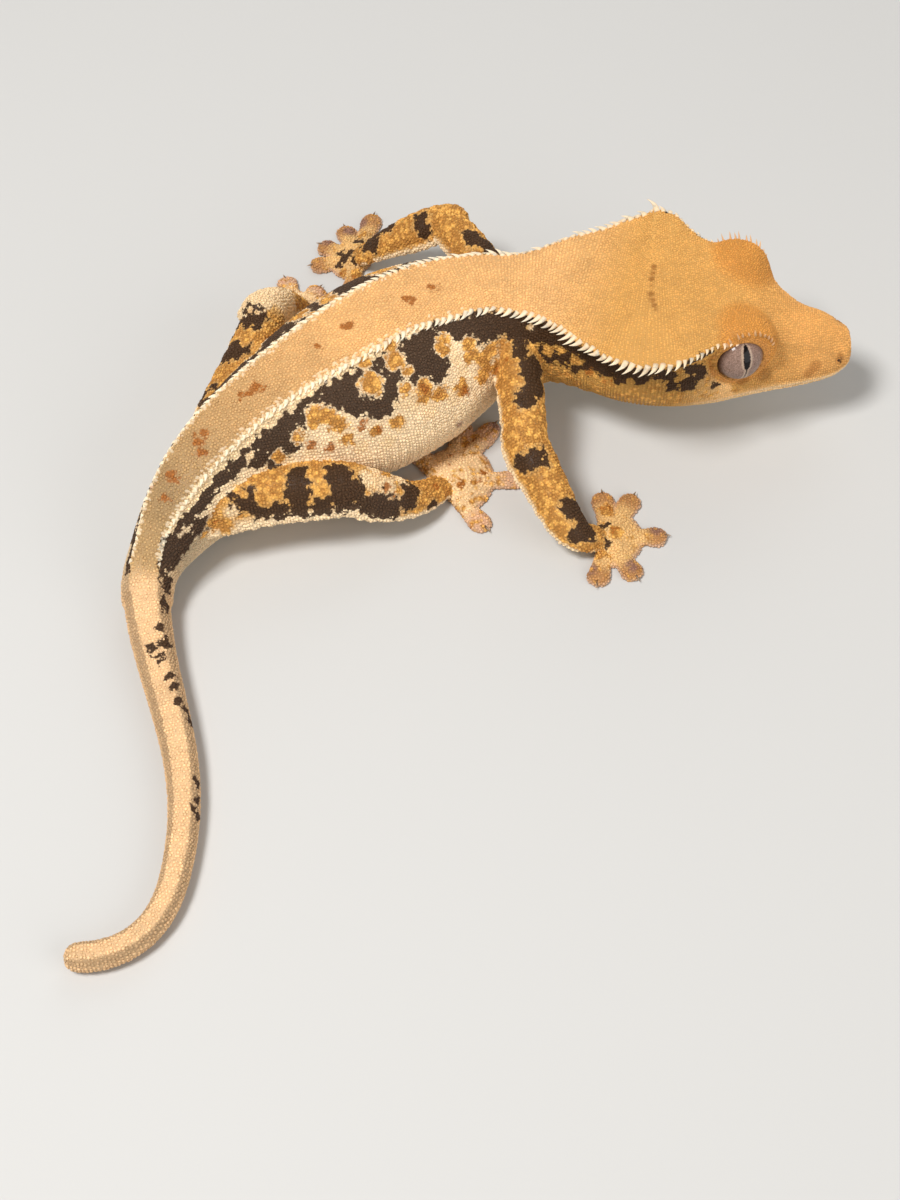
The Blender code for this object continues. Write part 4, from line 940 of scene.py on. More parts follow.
def markings_group(colours):
    """The gecko's colours from its ground and marks, with lobed edges, specks and fine grain. Each scale, spine
    and knob also gets painted shade at its foot that turns to a painted highlight at its top.
    """
    group = bpy.data.node_groups.new("Gecko markings", "ShaderNodeTree")
    for name in ("Place", "Ground", "Marks", "Dome"):
        socket(group, name, "Vector", "INPUT")
    socket(group, "Colour", "Color", "OUTPUT")
    socket(group, "Dark", "Float", "OUTPUT")
    socket(group, "Grain", "Float", "OUTPUT")
    inside = group.nodes.new("NodeGroupInput")
    where, ground, marks, dome = (inside.outputs[k] for k in range(4))
    depths = node(group, "SeparateXYZ", {0: marks}).outputs
    tone = node(group, "SeparateXYZ", {0: dome}).outputs
    lobes = node(group, "TexNoise", {"Vector": where, "Scale": 900.0, "Detail": 3.0,
                                     "Roughness": 0.55}).outputs[0]
    broad = node(group, "TexNoise", {"Vector": where, "Scale": 260.0, "Detail": 3.0,
                                     "Roughness": 0.6}).outputs[0]
    fine = node(group, "TexNoise", {"Vector": where, "Scale": 3200.0, "Detail": 2.0,
                                    "Roughness": 0.6}).outputs[0]

    cells = node(group, "TexVoronoi", {"Vector": where, "Scale": 1150.0}).outputs["Distance"]

    def moved(depth, wander, swell):
        depth = maths(group, "MULTIPLY_ADD", maths(group, "SUBTRACT", lobes, 0.5), wander / 6, depth)
        return maths(group, "MULTIPLY_ADD", maths(group, "SUBTRACT", 0.42, cells), swell / 6, depth)

    def over(depth, low, high):
        return span(group, depth, 0.5 + low / 6, 0.5 + high / 6)

    patch = moved(depths[1], 1.8, 0.8)
    gold, heart = over(patch, -0.15, 0.1), over(patch, -0.05, 0.5)
    dark = maths(group, "MULTIPLY", over(moved(depths[0], 2.0, -1.2), -0.12, 0.12),
                 maths(group, "SUBTRACT", 1.0, gold))
    rust = over(moved(depths[2], 2.4, 0.8), -0.2, 0.3)
    shade = node(group, "MapRange", {0: broad, 1: 0.3, 2: 0.7, 3: 0.9, 4: 1.08}).outputs[0]
    own = node(group, "VectorMath", {0: ground, 3: shade}, operation="SCALE").outputs[0]
    net = span(group, maths(group, "MULTIPLY_ADD", maths(group, "SUBTRACT", lobes, 0.5), 1.2, cells),
               0.2, 0.6)
    deep = [g * 0.45 + r * 0.45 for g, r in zip(colours.gold, colours.rust)]
    spot = mix(group, net, (*[v * 1.2 for v in colours.gold[:3]], 1), (*deep[:3], 1))
    colour = mix(group, heart, own, spot)
    colour = mix(group, maths(group, "MULTIPLY", rust, 0.9), colour, (*colours.rust[:3], 1))
    colour = mix(group, maths(group, "MULTIPLY", dark, 0.97), colour, (*colours.dark[:3], 1))
    # Painted shade and highlight: each scale, spine and knob is darker at its foot and lighter at its top, from
    # its height in Dome.
    painted_shading = node(group, "MapRange", {0: tone[0], 1: 0.0, 2: 1.0, 3: 0.84, 4: 1.08}).outputs[0]
    vary = node(group, "MapRange", {0: tone[1], 1: 0.0, 2: 1.0, 3: 0.87, 4: 1.12}).outputs[0]
    colour = node(group, "VectorMath", {0: colour, 3: maths(group, "MULTIPLY", painted_shading, vary)},
                  operation="SCALE").outputs[0]
    colour = mix(group, tone[2], colour, (*colours.knob[:3], 1))
    outside = group.nodes.new("NodeGroupOutput")
    group.links.new(colour, outside.inputs[0])
    group.links.new(dark, outside.inputs[1])
    group.links.new(fine, outside.inputs[2])
    return group


def skin_material(name, group, bump):
    """The skin's material: markings for colour, a soft sheen and a grain finer than the scales."""
    made = bpy.data.materials.new(name)
    made.use_nodes = True
    tree = made.node_tree
    shader = tree.nodes["Principled BSDF"]
    place_ = node(tree, "TexCoord").outputs["Object"]
    links = {"Place": place_}
    for word in ("ground", "marks", "dome"):
        links[word.capitalize()] = node(tree, "Attribute", attribute_name=word).outputs["Vector"]
    marks_ = node(tree, "Group", links={}, node_tree=group)
    for word, source in links.items():
        tree.links.new(source, marks_.inputs[word])
    tree.links.new(marks_.outputs["Colour"], shader.inputs["Base Color"])
    rough = node(tree, "MapRange", {0: marks_.outputs["Grain"], 1: 0.3, 2: 0.7, 3: 0.5, 4: 0.66})
    tree.links.new(rough.outputs[0], shader.inputs["Roughness"])
    height = node(tree, "Bump", {"Strength": bump, "Distance": 0.00006,
                                 "Height": marks_.outputs["Grain"]})
    tree.links.new(height.outputs[0], shader.inputs["Normal"])
    shader.inputs["Specular IOR Level"].default_value = 0.25
    shader.inputs["Subsurface Weight"].default_value = 0.08
    shader.inputs["Subsurface Radius"].default_value = (0.9, 0.45, 0.25)
    shader.inputs["Subsurface Scale"].default_value = 0.0006
    return made


def dome(sides, rim, top):
    """A low dome: a ring below the skin, a smaller ring higher up and a point on top, closed."""
    turn = np.arange(sides) * 2 * math.pi / sides
    ring = np.stack([np.cos(turn), np.sin(turn), 0 * turn], axis=1)
    points = np.concatenate([ring + (0, 0, -0.25 * top), ring * (rim, rim, 0) + (0, 0, 0.72 * top),
                             [(0, 0, top)]])
    k = np.arange(sides)
    side = np.stack([k, (k + 1) % sides, (k + 1) % sides + sides, k + sides], axis=1)
    cap = np.stack([k + sides, (k + 1) % sides + sides, np.full(sides, 2 * sides)], axis=1)
    return points, [side, cap, k[None, ::-1]]


def tooth(sides, lean, slim):
    """A small spine along z: rings that shrink towards the tip and lean over towards x."""
    up = np.array([-0.3, 0.0, 0.35, 0.68, 0.9])
    width = np.array([1.1, 1.0, 0.72, 0.4, 0.16]) * slim
    turn = np.arange(sides) * 2 * math.pi / sides
    ring = np.stack([np.cos(turn), np.sin(turn), 0 * turn], axis=1)
    rings = ring[None] * width[:, None, None]
    rings[..., 0] += (lean * np.maximum(up, 0) ** 2)[:, None]
    rings[..., 2] += up[:, None]
    points = np.concatenate([rings.reshape(-1, 3), [(0, 0, -0.3), (lean, 0, 1)]])
    quads, fans = tube_faces(len(up), sides)
    fans = np.where(fans == len(up) * sides, len(points) - 2, fans)
    return points, [quads, fans]


def atlas(part_name, along, turn):
    """The place of a root on the unwrap of the skin: one oblong for each part of the animal."""
    names = ["trunk"] + LIMBS + [n for n, *_ in GRIDS[1 + len(LIMBS):]] + ["brow_1", "brow_-1"]
    if part_name == "trunk":
        return np.stack([0.01 + 0.98 * along, 0.01 + 0.5 * turn], axis=1)
    k = names.index(part_name) - 1
    if k < 8:
        return np.stack([0.01 + 0.12 * (k + 0.95 * along), 0.53 + 0.2 * turn], axis=1)
    k -= 8
    return np.stack([0.01 + 0.075 * (k % 13 + 0.93 * along), 0.75 + 0.12 * (k // 13 + 0.9 * turn)],
                    axis=1)


def rows_of(grid, spacing, chance):
    """Roots for scales on a fine grid of rings, at an even spacing along and around.

    Rows are taken at equal steps of the rings' mean distance; along each, places follow the
    ring's own length, every other row moved by half a step, and all wander a little.
    """
    gaps = np.linalg.norm(np.diff(grid, axis=0), axis=2).mean(axis=1)
    along = np.concatenate([[0], np.cumsum(gaps)])
    want = np.arange(spacing / 2, along[-1], spacing * 0.87)
    ring = np.interp(want, along, np.arange(len(grid)))
    low = np.minimum(ring.astype(int), len(grid) - 2)
    share = (ring - low)[:, None, None]
    lines = grid[low] * (1 - share) + grid[low + 1] * share
    lines = np.concatenate([lines, lines[:, :1]], axis=1)
    length = np.concatenate([np.zeros((len(lines), 1)),
                             np.cumsum(np.linalg.norm(np.diff(lines, axis=1), axis=2), axis=1)], axis=1)
    made, where, turn = [], [], []
    for k in range(len(lines)):
        count = max(3, int(round(length[k, -1] / spacing)))
        steps = (np.arange(count) + 0.5 * (k % 2) + chance.uniform(-0.24, 0.24, count)) % count
        at = steps / count * length[k, -1]
        made.append(np.stack([np.interp(at, length[k], lines[k, :, j]) for j in range(3)], axis=1))
        where.append(np.full(count, want[k] / along[-1]))
        turn.append(np.interp(at, length[k], np.linspace(0, 1, lines.shape[1])))
    return np.concatenate(made), np.concatenate(where), np.concatenate(turn)


def scale_roots(sizes):
    """Every scale's foot, way out, spacing, unwrap place and part, settled on the skin."""
    chance = np.random.default_rng(5)
    grids = [(name, name, grid) for name, _, _, grid in GRIDS]
    for way in (1, -1):
        cap, tube = brow(way)
        grids += [(f"brow_{way}", "brow", cap), (f"brow_{way}", "brow", tube)]
    feet, ways, gaps, places, parts = [], [], [], [], []
    for name, kind, grid in grids:
        if kind == "trunk":
            split = [int(np.searchsorted(GRIDS[0][1], t)) for t in (0, 12.6, 22.4, 24.8, 35.01)]
            steps = [sizes.tail_scale, sizes.body_scale, sizes.body_scale, sizes.head_scale]
            runs = [(grid[a:b + 1], s, a, b) for a, b, s in zip(split, split[1:], steps)]
        else:
            step = {"brow": sizes.head_scale * 0.95, "han": sizes.foot_scale, "foo": sizes.foot_scale}
            runs = [(grid, step.get(kind if kind == "brow" else kind[:3], sizes.limb_scale), 0, 1)]
        for rings, spacing, a, b in runs:
            points, along, turn = rows_of(rings, spacing * 1000, chance)
            if kind == "trunk":
                along = (a + along * (len(rings) - 1)) / len(grid)
            feet.append(points)
            gaps.append(np.full(len(points), spacing * 1000))
            places.append(atlas(name, along, turn))
            parts.append(np.full(len(points), {"trunk": 0, "brow": 1}.get(kind, 2)))
    feet, gaps = np.concatenate(feet), np.concatenate(gaps)
    feet = feet + chance.normal(0, 0.1, feet.shape) * gaps[:, None]
    places, parts = np.concatenate(places), np.concatenate(parts)
    at, out, _, away = nearest(SKIN_TREE, feet)
    eye = np.minimum(*(np.linalg.norm(at - eye_centre(way), axis=1) for way in (1, -1)))
    hole = np.min([np.linalg.norm(at - trunk([NOSTRIL[0]], [w])[0, 0], axis=1)
                   for w in (NOSTRIL[1], 12 - NOSTRIL[1])], axis=0)
    keep = (away < np.where(parts == 2, 0.42, 0.75)) & (eye > EYE[3] + 0.1) & (at[:, 2] > 0.12)
    keep &= hole > 0.45
    return at[keep], out[keep], gaps[keep], places[keep], parts[keep]


def cover(name, mask, colours, material):
    """One piece of the coat: low domes on the chosen roots, each with its own size, turn and tone."""
    at, out, gaps, places = (values[mask] for values in ROOTS[:4])
    chance = np.random.default_rng(len(at))
    level, upward = axes(out)
    turn = chance.uniform(0, 2 * math.pi, len(at))
    across = level * np.cos(turn)[:, None] + upward * np.sin(turn)[:, None]
    over = np.cross(out, across)
    size = gaps * 0.55 * chance.uniform(0.74, 1.12, len(at))
    form = dome(5, 0.62, COAT / 0.215)
    points, faces = repeated(form, at, across, over, out, size)
    mesh = mesh_of(name, points, faces)
    copies = len(form[0])
    # Height on each dome, 0 at its foot and 1 at its top. The markings paint shade at the foot and a highlight at
    # the top from it.
    high = np.tile(np.repeat([0.0, 0.75, 1.0], (5, 5, 1)), len(at))
    tone = np.repeat(chance.uniform(0, 1, len(at)), copies)
    tell(mesh, at, colours, np.stack([high, tone, 0 * tone], axis=1), np.repeat(np.arange(len(at)), copies))
    unwrap(mesh, places, np.tile(form[0][:, :2], (len(at), 1)), copies)
    return piece(name, mesh, material)


def unwrap(mesh, places, plan, copies):
    """Gives each copy a patch of the unwrap, 0.003 across, about its root's own place."""
    spots = np.repeat(places, copies, axis=0) + np.clip(plan, -1, 1) * 0.0015
    corner = np.empty(len(mesh.loops), np.int32)
    mesh.loops.foreach_get("vertex_index", corner)
    layer = mesh.uv_layers.new(name="OFBake")
    layer.uv.foreach_set("vector", spots[corner].astype(np.float32).ravel())


def along_line(v, start, end, pitch):
    """Places t at an even pitch along one line of the trunk."""
    fine = np.linspace(start, end, 2400)
    line = trunk(fine, [v])[:, 0]
    run = np.concatenate([[0], np.cumsum(np.linalg.norm(np.diff(line, axis=0), axis=1))])
    return np.interp(np.arange(pitch / 2, run[-1], pitch), run, fine)


def frames_on(t, v):
    """Foot, way out, way round and way ahead on the trunk at matching places and lines."""
    t, v = np.asarray(t, float), np.asarray(v, float)
    feet, ahead, around = [], [], []
    for a, b in zip(t, v):
        patch = trunk([a - 0.03, a, a + 0.03], [b - 0.03, b, b + 0.03])
        feet.append(patch[1, 1])
        ahead.append(patch[2, 1] - patch[0, 1])
        around.append(patch[1, 2] - patch[1, 0])
    ahead, around = unit(np.array(ahead)), unit(np.array(around))
    return np.array(feet), np.cross(ahead, around), around, ahead


def spine_rows(sizes):
    """Both rows of spines: knobs on the tail's root, longer and longer to the crest's corners."""
    chance = np.random.default_rng(7)
    feet, ways, leans, length, width, pale = [], [], [], [], [], []
    for v, way in ((2, 1), (10, -1)):
        t = along_line(v, 13.2, 28.9, sizes.spine_pitch * 1000)
        t = t + chance.uniform(-0.02, 0.02, len(t))
        foot, out, around, ahead = frames_on(t, v + chance.uniform(-0.04, 0.04, len(t)))
        tall = np.interp(t, [13.2, 16, 19, 21, 22.5, 25, 26.6, 27.1, 28.4, 29.4],
                         [0.45, 0.6, 0.85, 1.05, 1.25, 1.35, 1.3, 0.75, 0.55, 0.4])
        tall = tall * chance.uniform(0.75, 1.15, len(t)) * sizes.spine_length * 1000 / 1.1
        tall = np.where((np.abs(t - 26.2) < 0.2) & (chance.uniform(0, 1, len(t)) < 0.7), tall * 1.5, tall)
        feet.append(foot)
        sideways = around * way
        back = np.interp(t, [13, 22, 25, 26.3, 28], [0.6, 0.55, 0.5, 0.15, 0.1])[:, None]
        ways.append(unit(out * 0.35 + sideways * 0.9 - ahead * back
                         + chance.normal(0, 0.08, (len(t), 3))))
        leans.append(-ahead)
        length.append(tall)
        width.append(np.clip(0.14 + 0.12 * tall, 0.2, 0.3))
        pale.append(np.interp(t, [13, 22, 26, 31], [0.95, 0.95, 0.85, 0.7]))
    return [np.concatenate(rows) for rows in (feet, ways, leans, length, width, pale)]


def knob_rows(sizes):
    """Loose pale knobs beside the rows of spines on the rear of the back, in two or three ranks."""
    chance = np.random.default_rng(9)
    t = np.concatenate([along_line(v, 13.4, 21.5, 0.62) for v in (10.12, 10.28, 1.88, 9.88)])
    v = np.concatenate([np.full(len(along_line(v, 13.4, 21.5, 0.62)), v)
                        for v in (10.12, 10.28, 1.88, 9.88)])
    keep = chance.uniform(0, 1, len(t)) < np.interp(t, [13, 15, 19, 21.5], [0.9, 0.95, 0.75, 0.25])
    t, v = t[keep], v[keep]
    foot, out, around, ahead = frames_on(t + chance.normal(0, 0.03, len(t)),
                                         v + chance.normal(0, 0.05, len(t)))
    size = chance.uniform(0.2, 0.34, len(t))
    return foot, out, size


def teeth(name, feet, ways, leans, length, width, dome_values, colours, material, sides=7, lean=0.45):
    """A piece of many small curved spines, each with its own way, lean, length and width."""
    out = unit(ways)
    across = unit(leans - out * np.einsum("ij,ij->i", leans, out)[:, None])
    over = np.cross(out, across)
    form, faces = tooth(sides, lean, 1.0)
    spread = np.repeat(np.arange(len(feet)), len(form))
    shape = np.tile(form, (len(feet), 1))
    wide = np.stack([width * 1.25, width * 0.85, length], axis=1)[spread]
    bent = shape * wide
    bent[:, 0] = (shape[:, 0] - lean * np.maximum(shape[:, 2], 0) ** 2) * width[spread] * 1.25 \
        + lean * np.maximum(shape[:, 2], 0) ** 2 * length[spread]
    points = feet[spread] + bent[:, :1] * across[spread] + bent[:, 1:2] * over[spread] \
        + bent[:, 2:] * out[spread]
    step = (np.arange(len(feet)) * len(form))[:, None, None]
    mesh = mesh_of(name, points, [(f[None] + step).reshape(-1, f.shape[1]) for f in faces])
    high = np.clip(shape[:, 2], 0, 1)
    tone = np.repeat(np.random.default_rng(3).uniform(0.3, 1, len(feet)), len(form))
    # Painted shade at the foot of each spine, turning to a painted highlight at its tip. The knob colour also
    # grows towards the tip.
    tell(mesh, feet, colours, np.stack([0.4 + 0.6 * high, tone, dome_values[spread] * (0.7 + 0.3 * high)],
                                       axis=1), spread)
    at, _, _, _ = nearest(SURVEY[0], feet)
    fact = facts_at(feet)
    where = np.stack([0.01 + 0.98 * np.clip(fact[:, 1] / ROWS, 0, 1),
                      0.01 + 0.04 * np.clip(fact[:, 2] + 1, 0, 7)], axis=1)
    unwrap(mesh, where, form_plan(shape), len(form))
    return piece(name, mesh, material)


def form_plan(shape):
    """A small form seen from above its foot, for its patch of the unwrap."""
    return np.stack([shape[:, 0], shape[:, 1]], axis=1) * 0.6


def lash_rows(sizes):
    """The lashes over both eyes, fanned out along the brow's edge."""
    chance = np.random.default_rng(4)
    feet, ways, leans, length, width = [], [], [], [], []
    reach = math.sqrt(1 - (BROW_FACE / BROW_SIZE[2]) ** 2)
    for way in (1, -1):
        middle, turn = brow_frame(way)
        angle = np.radians(np.linspace(-46, 68, sizes.lashes)) + chance.normal(0, 0.03, sizes.lashes)
        edge = np.stack([-way * np.sin(angle), np.cos(angle), 0 * angle], axis=1)
        foot = middle + (edge * BROW_SIZE * reach + (0, 0, BROW_FACE - 0.1)) @ turn
        foot, out, _, _ = nearest(SKIN_TREE, foot)
        feet.append(foot)
        ways.append(unit(edge @ turn * 0.4 + turn[2] * 0.65 + (-0.2, 0, 0.5)
                         + chance.normal(0, 0.08, foot.shape)))
        leans.append(np.broadcast_to(np.array((-0.3, 0, 1.0)), foot.shape))
        tall = sizes.lash_length * 1000 * (0.6 + 0.4 * np.cos(angle * 1.2)) * chance.uniform(0.8, 1.1, len(foot))
        length.append(tall)
        width.append(np.clip(tall * 0.19, 0.13, 0.2))
    return [np.concatenate(rows) for rows in (feet, ways, leans, length, width)]


def eyeball(way, colours):
    """One eye: a ball round its own aim with a slightly raised clear front.

    Rings follow the angle from the aim; the radius grows by a low hill near the front. Each point
    also carries its own place on the eye, which the iris, the slit and the rim follow.
    """
    middle, aim, radius = eye_centre(way), eye_aim(way), EYE[3] - 0.02
    angle = np.concatenate([np.linspace(0.015, 1.35, 64), np.linspace(1.42, math.pi - 0.02, 22)])
    turn = np.arange(96) * 2 * math.pi / 96
    size = radius * (1 + 0.02 * rise(angle, 1.1, 0.2))
    ahead = np.array((1.0, 0, 0))
    level = unit(ahead - aim * (ahead @ aim))
    upward = np.cross(aim, level) * way * -1
    ring = level * np.cos(turn)[:, None] + upward * np.sin(turn)[:, None]
    grid = middle + size[:, None, None] * (np.cos(angle)[:, None, None] * aim
                                           + np.sin(angle)[:, None, None] * ring)
    points, faces = closed(grid)
    mesh = mesh_of("eyeball_" + ("left" if way > 0 else "right"), points, faces)
    local = (points - middle) / radius
    give(mesh, "gaze", np.stack([local @ level, local @ upward, local @ aim], axis=1))
    return mesh


def eye_material(colours):
    """Grey-pink iris with fine branching veins, a ragged upright slit, a wet coat and a rim darkened next to the
    lids as painted shade.
    """
    made = bpy.data.materials.new("Gecko eye")
    made.use_nodes = True
    tree = made.node_tree
    shader = tree.nodes["Principled BSDF"]
    gaze = node(tree, "Attribute", attribute_name="gaze").outputs["Vector"]
    parts = node(tree, "SeparateXYZ", {0: gaze}).outputs
    across, up = parts[0], parts[1]
    far = maths(tree, "SQRT", maths(tree, "ADD", maths(tree, "POWER", across, 2.0),
                                    maths(tree, "POWER", up, 2.0)))
    ragged = node(tree, "TexNoise", {"Vector": gaze, "Scale": 16.0, "Detail": 2.0}).outputs[0]
    ripple = maths(tree, "MULTIPLY", maths(tree, "SUBTRACT", ragged, 0.5), 0.10)
    high = maths(tree, "DIVIDE", maths(tree, "SUBTRACT", up, 0.36), 0.44)
    taper = maths(tree, "MAXIMUM", maths(tree, "SUBTRACT", 1.0, maths(tree, "POWER", high, 2.0)), 0.0)
    half = maths(tree, "MULTIPLY_ADD", maths(tree, "SQRT", taper), 0.125, 0.014)
    gap = maths(tree, "SUBTRACT", maths(tree, "ADD", maths(tree, "ABSOLUTE", across), ripple), half)
    slit = span(tree, gap, 0.02, -0.02)
    slit = maths(tree, "MULTIPLY", slit, span(tree, maths(tree, "ABSOLUTE", up), 0.97, 0.90))
    warp = node(tree, "TexNoise", {"Vector": gaze, "Scale": 5.0, "Detail": 3.0}).outputs[1]
    bent = node(tree, "VectorMath", {0: gaze, 1: node(tree, "VectorMath", {0: warp, 3: 0.25},
                operation="SCALE").outputs[0]}, operation="ADD").outputs[0]
    bent = node(tree, "VectorMath", {0: bent, 1: (2.2, 0.7, 1.0)}, operation="MULTIPLY").outputs[0]
    veins = node(tree, "TexVoronoi", {"Vector": bent, "Scale": 6.0}, feature="DISTANCE_TO_EDGE")
    thin = span(tree, veins.outputs[0], 0.07, 0.0)
    mottle = node(tree, "TexNoise", {"Vector": gaze, "Scale": 22.0, "Detail": 4.0,
                                     "Roughness": 0.7}).outputs[0]
    base = mix(tree, span(tree, mottle, 0.35, 0.65), (*[v * 0.75 for v in colours.iris[:3]], 1),
               (*[min(1, v * 1.3) for v in colours.iris[:3]], 1))
    base = mix(tree, maths(tree, "MULTIPLY", thin, 0.55), base, (0.10, 0.045, 0.03, 1))
    glow = span(tree, maths(tree, "ABSOLUTE", maths(tree, "SUBTRACT", gap, 0.05)), 0.07, 0.0)
    base = mix(tree, maths(tree, "MULTIPLY", glow, 0.35), base, (0.78, 0.60, 0.42, 1))
    # Painted shade: the outer part of the eye darkens towards the lids.
    base = mix(tree, span(tree, far, 0.72, 0.97), base, (0.05, 0.022, 0.012, 1))
    colour = mix(tree, slit, base, (0.006, 0.004, 0.004, 1))
    tree.links.new(colour, shader.inputs["Base Color"])
    tree.links.new(node(tree, "MapRange", {0: mottle, 1: 0.3, 2: 0.7, 3: 0.10, 4: 0.16}).outputs[0],
                   shader.inputs["Roughness"])
    relief_ = node(tree, "Bump", {"Strength": 0.25, "Distance": 0.00004, "Height": mottle})
    tree.links.new(relief_.outputs[0], shader.inputs["Normal"])
    shader.inputs["Specular IOR Level"].default_value = 0.05
    shader.inputs["Coat Weight"].default_value = 0.3
    shader.inputs["Coat Roughness"].default_value = 0.03
    return made


def claw_rows():
    """Foot and way of the claw at the tip of each toe."""
    feet, ways = [], []
    for middle, tips in FEET.values():
        for tip in tips:
            ahead = unit(np.array(tip) - np.array(middle))
            feet.append((*(np.array(tip) - ahead * 0.42), 0.62))
            ways.append((*ahead, 0.35))
    return np.array(feet), np.array(ways)


def horn_material(colours):
    """Claws: brown horn, paler towards the tip, with fine lengthwise streaks."""
    made = bpy.data.materials.new("Gecko claws")
    made.use_nodes = True
    tree = made.node_tree
    shader = tree.nodes["Principled BSDF"]
    dome_ = node(tree, "Attribute", attribute_name="dome").outputs["Vector"]
    high = node(tree, "SeparateXYZ", {0: dome_}).outputs[0]
    place_ = node(tree, "TexCoord").outputs["Object"]
    streak = node(tree, "TexNoise", {"Vector": place_, "Scale": 4000.0, "Detail": 2.0}).outputs[0]
    colour = mix(tree, span(tree, high, 0.3, 1.0), (0.10, 0.045, 0.02, 1), (0.46, 0.30, 0.16, 1))
    colour = mix(tree, maths(tree, "MULTIPLY", streak, 0.4), colour, (0.05, 0.025, 0.012, 1))
    tree.links.new(colour, shader.inputs["Base Color"])
    tree.links.new(node(tree, "MapRange", {0: streak, 1: 0.3, 2: 0.7, 3: 0.28, 4: 0.4}).outputs[0],
                   shader.inputs["Roughness"])
    bump_ = node(tree, "Bump", {"Strength": 0.2, "Distance": 0.00003, "Height": streak})
    tree.links.new(bump_.outputs[0], shader.inputs["Normal"])
    return made


def colour_of(name, about, value):
    """A colour property."""
    return bpy.props.FloatVectorProperty(name=name, description=about, subtype="COLOR", size=3,
                                         min=0, max=1, default=value)


def length_of(name, about, value):
    """A length property in metres."""
    return bpy.props.FloatProperty(name=name, description=about, unit="LENGTH", precision=5,
                                   min=0.0001, default=value)


class GeckoColours(bpy.types.PropertyGroup):
    """Colours of skin, markings, feet and eyes."""

    shield: colour_of("Shield", "Top of the head", (0.72, 0.375, 0.10))
    snout: colour_of("Snout", "Top and sides of the snout", (0.80, 0.40, 0.115))
    back: colour_of("Back", "Band along the middle of the back", (0.84, 0.47, 0.185))
    hip: colour_of("Hip", "Rear end of the band", (0.43, 0.27, 0.12))
    tail: colour_of("Tail", "Top of the tail", (0.86, 0.55, 0.29))
    flank: colour_of("Flank", "Pale lower flank", (0.91, 0.68, 0.42))
    belly: colour_of("Belly", "Belly and undersides", (0.76, 0.60, 0.36))
    gold: colour_of("Gold", "Patches that break the dark", (0.73, 0.385, 0.09))
    dark: colour_of("Dark", "Dark marks", (0.050, 0.021, 0.008))
    rust: colour_of("Rust", "Rust spots", (0.38, 0.12, 0.015))
    knob: colour_of("Knob", "Tips of spines and knobs", (0.95, 0.83, 0.63))
    lip: colour_of("Lip", "Lips", (0.90, 0.54, 0.22))
    limb: colour_of("Limb", "Legs", (0.66, 0.36, 0.11))
    hand: colour_of("Hand", "Front feet", (0.80, 0.48, 0.19))
    foot: colour_of("Foot", "Hind feet", (0.92, 0.62, 0.33))
    pad: colour_of("Pad", "Undersides of the toes", (0.62, 0.38, 0.24))
    brow: colour_of("Brow", "Domes over the eyes", (0.67, 0.28, 0.05))
    cream: colour_of("Cream", "Lobes inside the gold patches", (0.92, 0.70, 0.40))
    mauve: colour_of("Mauve", "Dusky tips of the toes", (0.27, 0.14, 0.11))
    lid: colour_of("Lid", "Lids round the eyes", (0.66, 0.29, 0.07))
    iris: colour_of("Iris", "Iris of the eyes", (0.27, 0.175, 0.135))


class GeckoSizes(bpy.types.PropertyGroup):
    """Sizes of scales, spines and lashes."""

    tail_scale: length_of("Tail scale", "Spacing of the scales on the tail", 0.00046)
    body_scale: length_of("Body scale", "Spacing of the scales on the trunk", 0.00046)
    head_scale: length_of("Head scale", "Spacing of the scales on the head", 0.00036)
    limb_scale: length_of("Limb scale", "Spacing of the scales on the legs", 0.00048)
    foot_scale: length_of("Foot scale", "Spacing of the scales on the feet", 0.00046)
    spine_pitch: length_of("Spine pitch", "Distance between spines", 0.00098)
    spine_length: length_of("Spine length", "Longest spines of the crest", 0.0011)
    lash_length: length_of("Lash length", "Longest lashes", 0.0012)
    lashes: bpy.props.IntProperty(name="Lashes", description="Lashes over each eye", min=3, max=20,
                                  default=11)
    cell: length_of("Skin cell", "Cell of the lattice that melts the skin together", 0.00025)
    camera: length_of("Camera distance", "From the camera to the model's middle", 0.253)
    tilt: bpy.props.FloatProperty(name="Camera height", description="Angle above the floor",
                                  subtype="ANGLE", default=math.radians(55))


GRIDS, SURVEY, SKIN_TREE, ROOTS, PAINTS = [], [], [], [], {}


class GECKO_OT_skin(bpy.types.Operator):
    """Makes the one skin that stands for every fleshy part"""

    bl_idname = "gecko.skin"
    bl_label = "Skin"

    def execute(self, context):
        global GRIDS, SURVEY, SKIN_TREE
        colours, sizes = context.scene.gecko_colours, context.scene.gecko_sizes
        GRIDS = lofts()
        SURVEY = survey()
        group = markings_group(colours)
        PAINTS["skin"] = skin_material("Gecko skin", group, 0.5)
        PAINTS["scales"] = skin_material("Gecko scales", group, 0.3)
        mesh = skin_mesh(sizes.cell / METRES)
        points = points_of(mesh)
        # The skin lies at the foot of the scales, so it gets their darkest painted shade.
        tell(mesh, points, colours, np.broadcast_to((0.0, 0.5, 0.0), points.shape))
        SKIN_TREE = BVHTree.FromPolygons(points.tolist(), [p.vertices[:] for p in mesh.polygons])
        piece("skin", mesh, PAINTS["skin"],
              [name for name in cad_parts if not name.startswith("eye")])
        return {"FINISHED"}


